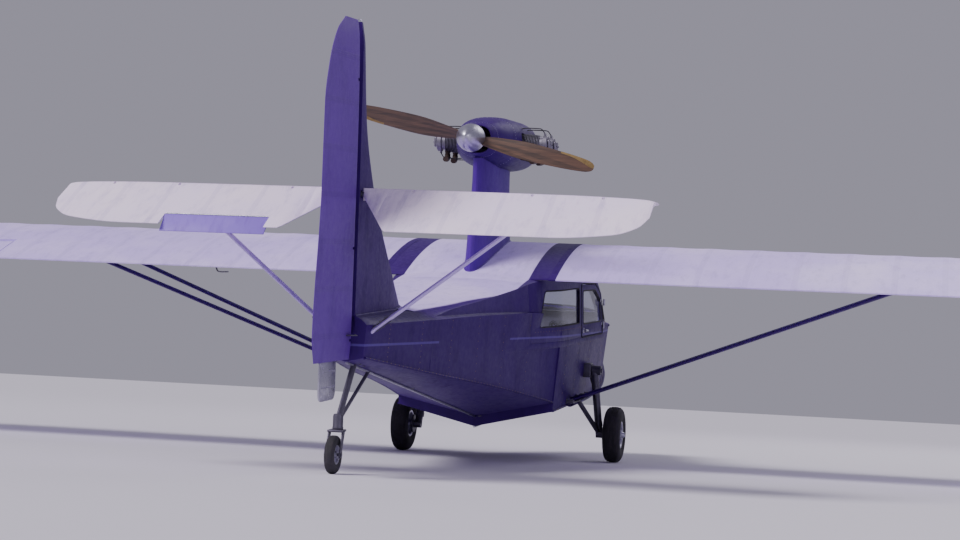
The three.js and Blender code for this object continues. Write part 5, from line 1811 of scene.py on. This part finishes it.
def makeWindowTrim(name, side):
    rubber = {"out": -0.002, "radius": 0.0055}
    corner = openings["corner"]
    x0, x1, y0, y1 = openings["screen"]
    screen = densely(rounded([(x0, y0), (x0, y1), (x1, y1), (x1, y0)], corner))
    beads = [wallBead(rounded(openings[key], corner), side, **rubber)
             for key in ("quarter", "front", "doorWindow")]
    over = [(side * x, y, roofZ(x, y) + rubber["out"]) for x, y in screen]
    seal = wallBead(rounded(grown(openings["door"], 0.009), 0.035), side, 0.0005, 0.0035, 6)
    fixed = joined(beads[:2] + [looped(over, rubber["radius"]), seal])
    placed("window_gaskets_" + name, fixed, "tyre")
    placed("door_gasket_" + name, beads[2], "tyre", body="door_" + name)


# Door handles outside and in, and two hinges a side, each with a leaf and a barrel on both pieces
doorHinge = {"x": 0.584, "y": 1.709, "heights": (0.66, 0.83), "radius": 0.008}


def makeDoorFurniture(name, side):
    x = wallX(0.86, 0.648)
    rose = [(0.0, 0.0), (0.02, 0.0), (0.019, 0.004), (0.009, 0.006), (0.009, 0.018), (0.0, 0.018)]
    lever = [(x + 0.016, 0.86, 0.645), (x + 0.019, 0.9, 0.645), (x + 0.017, 0.965, 0.642)]
    pull = [(x - 0.03, 0.92, 0.655), (x - 0.055, 0.95, 0.655), (x - 0.055, 1.05, 0.655),
            (x - 0.03, 1.08, 0.655)]
    taper = [0.008] * 4 + [0.0065] * 4 + [0.006] * 3 + [0.004]
    moving = [turnedAbout(rose, (side * x, 0.86, 0.645), (side, 0, 0), 28),
              tubed(smoothPath(sided(side, lever), 12), taper, 14),
              tubed(smoothPath(sided(side, pull), 20), 0.006, 12)]
    fixed = []
    for z in doorHinge["heights"]:
        wall = wallX(doorHinge["y"], z)
        for parts, y0, y1, low, high, bottom, top in (
                (moving, 1.66, 1.704, 0.002, 0.02, 0.0, 0.022),
                (fixed, 1.714, 1.745, -0.024, -0.002, -0.025, -0.001)):
            leaf = [(wall + 0.0015, y, z + rise) for y, rise in (
                (y0, low), (y1, low), (y1, high), (y0, high))]
            parts.append(plate(sided(side, leaf), 0.003, (1, 0, 0), 0.0006))
            barrel = [(doorHinge["x"], doorHinge["y"], z + end) for end in (bottom, top)]
            parts.append(tubed(sided(side, barrel), doorHinge["radius"], 16))
    placed("door_furniture_" + name, joined(moving), "aluminium", body="door_" + name)
    placed("door_hinges_" + name, joined(fixed), "aluminium")


# Hull strips, fastenings, lights and other small fittings
strips = {"chine": 0.011, "keel": 0.009, "sheer": 0.008, "rail": 0.016, "head": 0.0032, "bead": 0.007}
screws = {
    "afterY": (-2.9, -2.45, -2.0, -1.55, -1.1, -0.62), "foreY": (0.3, 0.75, 1.25, 1.9, 2.35, 2.8, 3.15),
    "doorFrom": 0.77, "doorTo": 1.72, "rowZ": 0.672, "nacelleY": (-0.2, 0.05, 0.72, 0.93),
}


# Places of one edge of the hull, from a lower to a higher y
def hullLine(rows, kind, low, high, count=60):
    at = curveThrough(rows)
    points = []
    for y in evenly(low, high, count):
        keelZ, chineX, chineZ, edgeX, edgeZ, crown = at(y)
        points.append({"keel": (0.0, y, keelZ), "chine": (chineX, y, chineZ),
                       "sheer": (edgeX, y, edgeZ - 0.012)}[kind])
    return points


def makeStuds():
    geometry = ("Geometry", "Geometry")
    inputs = [geometry, ("Radius", "Float"), ("Height", "Float"), ("Material", "Material")]
    tree, given, result = newGroup("studs", inputs, [geometry], "GeometryNodeTree")
    head = addNode(tree, "GeometryNodeMeshCone", {
        "Vertices": 10, "Radius Top": times(tree, given["Radius"], 0.62),
        "Radius Bottom": given["Radius"], "Depth": given["Height"]})
    facing = addNode(tree, "GeometryNodeInputNamedAttribute", {"Name": "facing"}, data_type="FLOAT_VECTOR")
    turned = addNode(tree, "FunctionNodeAlignRotationToVector", {"Vector": facing.outputs[0]}, axis="Z")
    heads = addNode(tree, "GeometryNodeInstanceOnPoints", {
        "Points": given["Geometry"], "Instance": head.outputs["Mesh"], "Rotation": turned.outputs[0]})
    finishMesh(tree, heads, given, result)
    return tree


def studded(name, tree, places, radius, height, paint):
    mesh = meshFrom([at for at, _ in places], [])
    facing = mesh.attributes.new("facing", "FLOAT_VECTOR", "POINT")
    for item, (at, direction) in zip(facing.data, places):
        item.vector = Vector(direction).normalized()
    heads = fromNodes(tree, mesh, {"Radius": radius, "Height": height, "Material": paints[paint]})
    placed(name, heads, paint, smooth=40)


# Beads round the feet of fin and pylon, on the deck and on the wing
def deckTop(x, y):
    keelZ, chineX, chineZ, edgeX, edgeZ, crown = curveThrough(hullShape["afterbody"])(y)
    deck = edgeZ + crown * (1 - min(abs(x) / edgeX, 1.0) ** hullShape["deckRound"])
    return max(deck, roofZ(x, y)) if y > hullShape["cabin"][0][0] else deck


def finRoot():
    low, high, rear, at = finOutline()
    right = []
    for k in range(40):
        t = 1 - cos(pi / 2 * k / 39)
        x, z = 0.0, 0.84
        for step in range(4):
            lead, half = at(z)
            x, y = bladeHalf(half, t), lead - (lead - rear) * t
            z = deckTop(x, y)
        right.append((x, y, z))
    left = [(-x, y, z) for x, y, z in right[1:]]
    return tubed(left[::-1] + right, strips["bead"], 10)


def pylonRoot():
    path = []
    for angle in anglesRound(72):
        z = 1.1
        for step in range(4):
            x, y, foot = pylonPoint(angle, z)
            t = 1 - (y - wing["trailY"]) / (wing["chord"] * cos(wing["incidence"]))
            z = wingPoint(0.0, min(max(t, 0.0), 1.0), 1)[2]
        path.append((x, y, z))
    return looped(path, strips["bead"], 10)


def makeHullTrim(tree):
    after, fore = hullShape["afterbody"], hullShape["forebody"]
    wood, bright, heads = [], [], []
    for side in sides.values():
        for rows, low, high in ((after, -3.19, 0.0), (fore, 0.005, 3.46)):
            chine = [(side * (x + 0.001), y, z + 0.004) for x, y, z in hullLine(rows, "chine", low, high)]
            wood.append(tubed(chine, strips["chine"], 12, 0.62))
            for x, y, z in chine[1:-1]:
                heads.append(((x + side * strips["chine"] * 0.9, y, z + 0.002), (side, 0, 0.1)))
        sheer = [(side * (x + 0.001), y, z) for x, y, z in hullLine(fore, "sheer", 2.3, 3.47, 30)]
        wood.append(tubed(sheer, strips["sheer"], 10, 0.8))
        rail = [(side * (x + 0.012), y, z - 0.006) for x, y, z in hullLine(fore, "chine", 0.6, 3.1, 50)]
        wood.append(tubed(rail, strips["rail"], 10, 0.35))
    for rows, low, high in ((after, -3.19, 0.02), (fore, 0.0, 3.45)):
        keel = [(x, y, z - 0.003) for x, y, z in hullLine(rows, "keel", low, high)]
        bright.append(tubed(keel, strips["keel"], 10, 0.7))
    placed("hull_rub_strips", joined(wood), "fin", smooth=50)
    placed("keel_strips", joined(bright), "aluminium", smooth=50)
    for side in sides.values():
        for rows, ys, shares, lean in (
                (after, screws["afterY"], evenly(0.06, 0.96, 9), 0.12),
                (fore, screws["foreY"], evenly(0.08, 0.92, 8), 0)):
            for y in ys:
                keelZ, chineX, chineZ, edgeX, edgeZ, crown = curveThrough(rows)(y)
                for share in shares:
                    x, z = chineX + (edgeX - chineX) * share, chineZ + (edgeZ - chineZ) * share
                    heads.append(((side * (x + 0.0002), y, z), (side, lean, 0)))
        for y in evenly(-0.52, 2.1, 50):
            if not screws["doorFrom"] < y < screws["doorTo"]:
                heads.append(((side * (wallX(y, 0.67) + 0.0002), y, screws["rowZ"]), (side, 0, 0)))
    studded("hull_screws", tree, heads, strips["head"], 0.0016, "brass")


def makeNacelleRivets(tree):
    rivets = []
    for y in screws["nacelleY"]:
        for x, y, z in nacelleRing(y, *curveThrough(nacelle["stations"])(y)):
            rivets.append(((x, y, z), (x, 0, (z - nacelle["z"]) * 1.3)))
    studded("nacelle_rivets", tree, rivets, 0.0026, 0.0014, "aluminium")


# Fairing strips over the joints of wing and cabin, and inspection covers under the wings
def makeWingTrim(tree):
    bands, covers, heads = [], [], []
    cover = [(0.0, -0.001), (0.052, -0.001), (0.051, 0.0012), (0.0, 0.0016)]
    for side in sides.values():
        rings = [[Vector(p) for p in wingSection(side * x)] for x in (0.545, 0.592)]
        for ring in rings:
            middle = sum(ring, Vector()) / len(ring)
            for point in ring:
                point += (point - middle).normalized() * 0.0016
        bands.append(lofted(rings))
        for t, x in ((0.3, 1.4), (0.62, 1.4), (0.62, 2.6), (0.3, 3.9), (0.66, 4.2)):
            at, behind, ahead = [Vector(wingPoint(side * x, t + d, -1)) for d in (0, -0.02, 0.02)]
            normal = Vector((1, 0, 0)).cross(ahead - behind).normalized()
            normal = -normal if normal.z > 0 else normal
            covers.append(turnedAbout(cover, at, normal, 40))
            basis = basisAlong((0, 0, 0), normal)
            for a in anglesRound(6):
                heads.append((at + basis @ Vector((0.044 * cos(a), 0.044 * sin(a), 0.0014)), normal))
    placed("wing_root_strips", joined(bands), "fin")
    placed("fin_root_bead", finRoot(), "fin", smooth=60)
    placed("pylon_root_bead", pylonRoot(), "pylon", smooth=60)
    placed("inspection_covers", joined(covers), "strut")
    studded("cover_screws", tree, heads, 0.003, 0.0012, "steel")


# Bow cleat, pads under the wings, lamps, fuel caps, pitot tube, bow eye and drain plugs
def makeFittings():
    metal = [block((-0.06, 2.84, 0.66), (0.06, 2.96, 0.706), 0.004, 3)]
    lights, fuel = {}, []
    dome = [(0.0, 0.026), (0.008, 0.0245), (0.014, 0.018), (0.017, 0.008), (0.0175, 0.0), (0.0, 0.0)]
    seat = [(0.0, -0.01), (0.021, -0.01), (0.02, 0.002), (0.0, 0.002)]
    cap = [(0.0, 0.0), (0.036, 0.0), (0.036, 0.008), (0.03, 0.013), (0.0, 0.014)]
    for name, side in sides.items():
        metal.append(block((side * 3.03 - 0.04, 0.56, 1.004), (side * 3.03 + 0.04, 0.64, 1.06), 0.004, 3))
        lamp = Vector((side * 5.545, 0.62, 1.128)) - Vector((side * 0.012, 0, 0))
        lights[name] = turnedAbout(dome, lamp, (side * 0.4, 0, 1), 28)
        metal.append(turnedAbout(seat, lamp, (side * 0.4, 0, 1), 28))
        fuel.append(turnedAbout(cap, (side * 0.3, 0.42, roofZ(0.3, 0.42) + 0.035), (0, -0.03, 1), 40))
    pitot = [(0.9, 1.05), (0.93, 0.99), (0.98, 0.955), (1.08, 0.95), (1.2, 0.95)]
    metal.append(tubed(smoothPath([(-2.2, *place) for place in pitot], 22), 0.0055, 14))
    eye = [(0.0, 3.535 + 0.024 * cos(a), 0.555 + 0.024 * sin(a)) for a in anglesRound(28)]
    metal.append(looped(eye, 0.005, 10))
    for x, y, z, axis in ((0.0, -3.205, 0.62, (0, -1, 0)), (0.04, -0.02, 0.075, (0.2, 0, -1)),
                          (0.04, -1.9, 0.372, (0.2, 0, -1))):
        metal.append(boltHead((x, y, z), axis, 0.011, 0.006))
    placed("metal_fittings", joined(metal), "steel")
    placed("fuel_caps", joined(fuel), "aluminium")
    placed("port_light", lights["left"], "red")
    placed("starboard_light", lights["right"], "green")
    clear = [(0.0, 0.022), (0.008, 0.02), (0.013, 0.012), (0.0145, 0.0), (0.0, 0.0)]
    placed("tail_light", turnedAbout(clear, (0, -3.18, 2.362), (0, 0, 1), 24), "glass")


# Water rudder, rudder horns and elevator cross tube
def makeControlsAft():
    corners = [(-3.405, 0.5997), (-3.692, 0.5997), (-3.692, 0.4), (-3.4, 0.4)]
    outline = [Vector(p) for p in corners[:2]] + rounded(corners, 0.055, 8)[18:]
    water = [plate([(0, y, z) for y, z in outline], 0.01, (1, 0, 0), 0.003)]
    for z in (0.47, 0.55):
        water.append(tubed([(0.0, -3.41, z), (0.0, -3.66, z)], [0.0075, 0.006], 10))
    placed("water_rudder_blade", joined(water), "aluminium", "water_rudder", "aluminium", body="rudders")
    half = [(0.03, -3.264), (0.07, -3.284), (0.086, -3.3), (0.06, -3.335)]
    ends = [(-x, y) for x, y in half[2::-1]] + half + [(-half[3][0], half[3][1])]
    arms = [plate([(x, y, 0.728) for x, y in ends], 0.005, (0, 0, 1))]
    for side in sides.values():
        arms.append(boltHead((side * 0.072, -3.3, 0.7305), (0, 0, 1), 0.006, 0.005))
    placed("rudder_horns", joined(arms), "steel", body="rudders")
    ends = [(x, tail["hingeY"], tail["z"]) for x in (-0.0617, 0.0617)]
    placed("elevator_cross_tube", tubed(ends, 0.013, 28), "steel", "elevator_tube", "steel",
           "elevators", 40)



makeHull()
print("hull and cabin skins made")
makeWings()
makeTail()
print("wings and tail skinned")
makeNacelle()
makeEngine()
makePropeller()
print("engine group made")
makeStruts()
makeFloats()
makeWheels()
print("struts, floats and wheels made")
makeSeats()
makeDials()
makeControls()
for name, side in sides.items():
    makeWindowTrim(name, side)
    makeDoorFurniture(name, side)
print("cabin fitted out")
studTree = makeStuds()
makeHullTrim(studTree)
makeNacelleRivets(studTree)
makeWingTrim(studTree)
makeFittings()
makeControlsAft()
print("strips, screws and fittings made")

# Floor, light and camera

studio = {
    "floorSize": 160.0, "floor": srgb(206, 202, 214), "sky": srgb(214, 210, 230), "skyStrength": 0.46,
}


def makeStage():
    half = studio["floorSize"] / 2
    corners = [(-half, -half, 0), (half, -half, 0), (half, half, 0), (-half, half, 0)]
    floor = newObject("floor", meshFrom(corners, [(0, 1, 2, 3)]))
    material, tree, shader, where = newMaterial("pale floor")
    fill(tree, shader, {"Base Color": studio["floor"], "Roughness": 0.75})
    floor.data.materials.append(material)
    world = bpy.data.worlds.new("studio")
    world.use_nodes = True
    background = world.node_tree.nodes["Background"]
    fill(world.node_tree, background, {"Color": studio["sky"], "Strength": studio["skyStrength"]})
    bpy.context.scene.world = world


lamps = {
    "sun": {"kind": "SUN", "at": (-9.0, -8.0, 13.0), "aim": (0.0, -0.5, 0.8), "angle": 24, "power": 3.3,
            "colour": (1.0, 0.97, 0.97)},
    "fill": {"kind": "AREA", "at": (12.0, -10.0, 6.0), "aim": (0.0, 0.0, 1.0), "size": 9.0, "power": 380.0,
             "colour": (0.92, 0.9, 1.0)},
    "back": {"kind": "AREA", "at": (5.0, 12.0, 11.0), "aim": (0.0, 0.0, 1.5), "size": 8.0, "power": 420.0,
             "colour": (0.97, 0.95, 1.0)},
}


def makeLamps():
    for name, lamp in lamps.items():
        light = bpy.data.lights.new(name, lamp["kind"])
        light.energy = lamp["power"]
        light.color = lamp["colour"]
        if lamp["kind"] == "SUN":
            light.angle = radians(lamp["angle"])
        else:
            light.shape = "DISK"
            light.size = lamp["size"]
        obj = newObject(name, light)
        obj.location = lamp["at"]
        obj.rotation_mode = "QUATERNION"
        obj.rotation_quaternion = (Vector(lamp["aim"]) - Vector(lamp["at"])).to_track_quat("-Z", "Y")


view = {
    "distance": 14.14, "azimuth": 12.35, "height": 1.222, "focal": 2100.0, "roll": 2.15,
    "principal": (481.0, 270.0), "horizon": 245.0, "frameWidth": 960.0,
}


def makeCamera():
    azimuth = radians(view["azimuth"])
    eye = Vector((view["distance"] * sin(azimuth), -view["distance"] * cos(azimuth), view["height"]))
    tilt = atan((view["horizon"] - view["principal"][1]) / view["focal"])
    forward = Vector((-sin(azimuth), cos(azimuth), 0.0))
    look = (forward * cos(tilt) + Vector((0, 0, 1)) * sin(tilt)).normalized()
    right = look.cross(Vector((0, 0, 1))).normalized()
    up = right.cross(look)
    roll = radians(view["roll"])
    across = right * cos(roll) + up * sin(roll)
    upright = up * cos(roll) - right * sin(roll)
    camera = bpy.data.cameras.new("camera")
    camera.sensor_width = 36.0
    camera.lens = view["focal"] * camera.sensor_width / view["frameWidth"]
    obj = newObject("camera", camera)
    basis = Matrix((across, upright, -look)).transposed().to_4x4()
    obj.matrix_world = parked @ Matrix.Translation(eye) @ basis
    bpy.context.scene.camera = obj


makeStage()
makeLamps()
makeCamera()
print("stage and camera set")
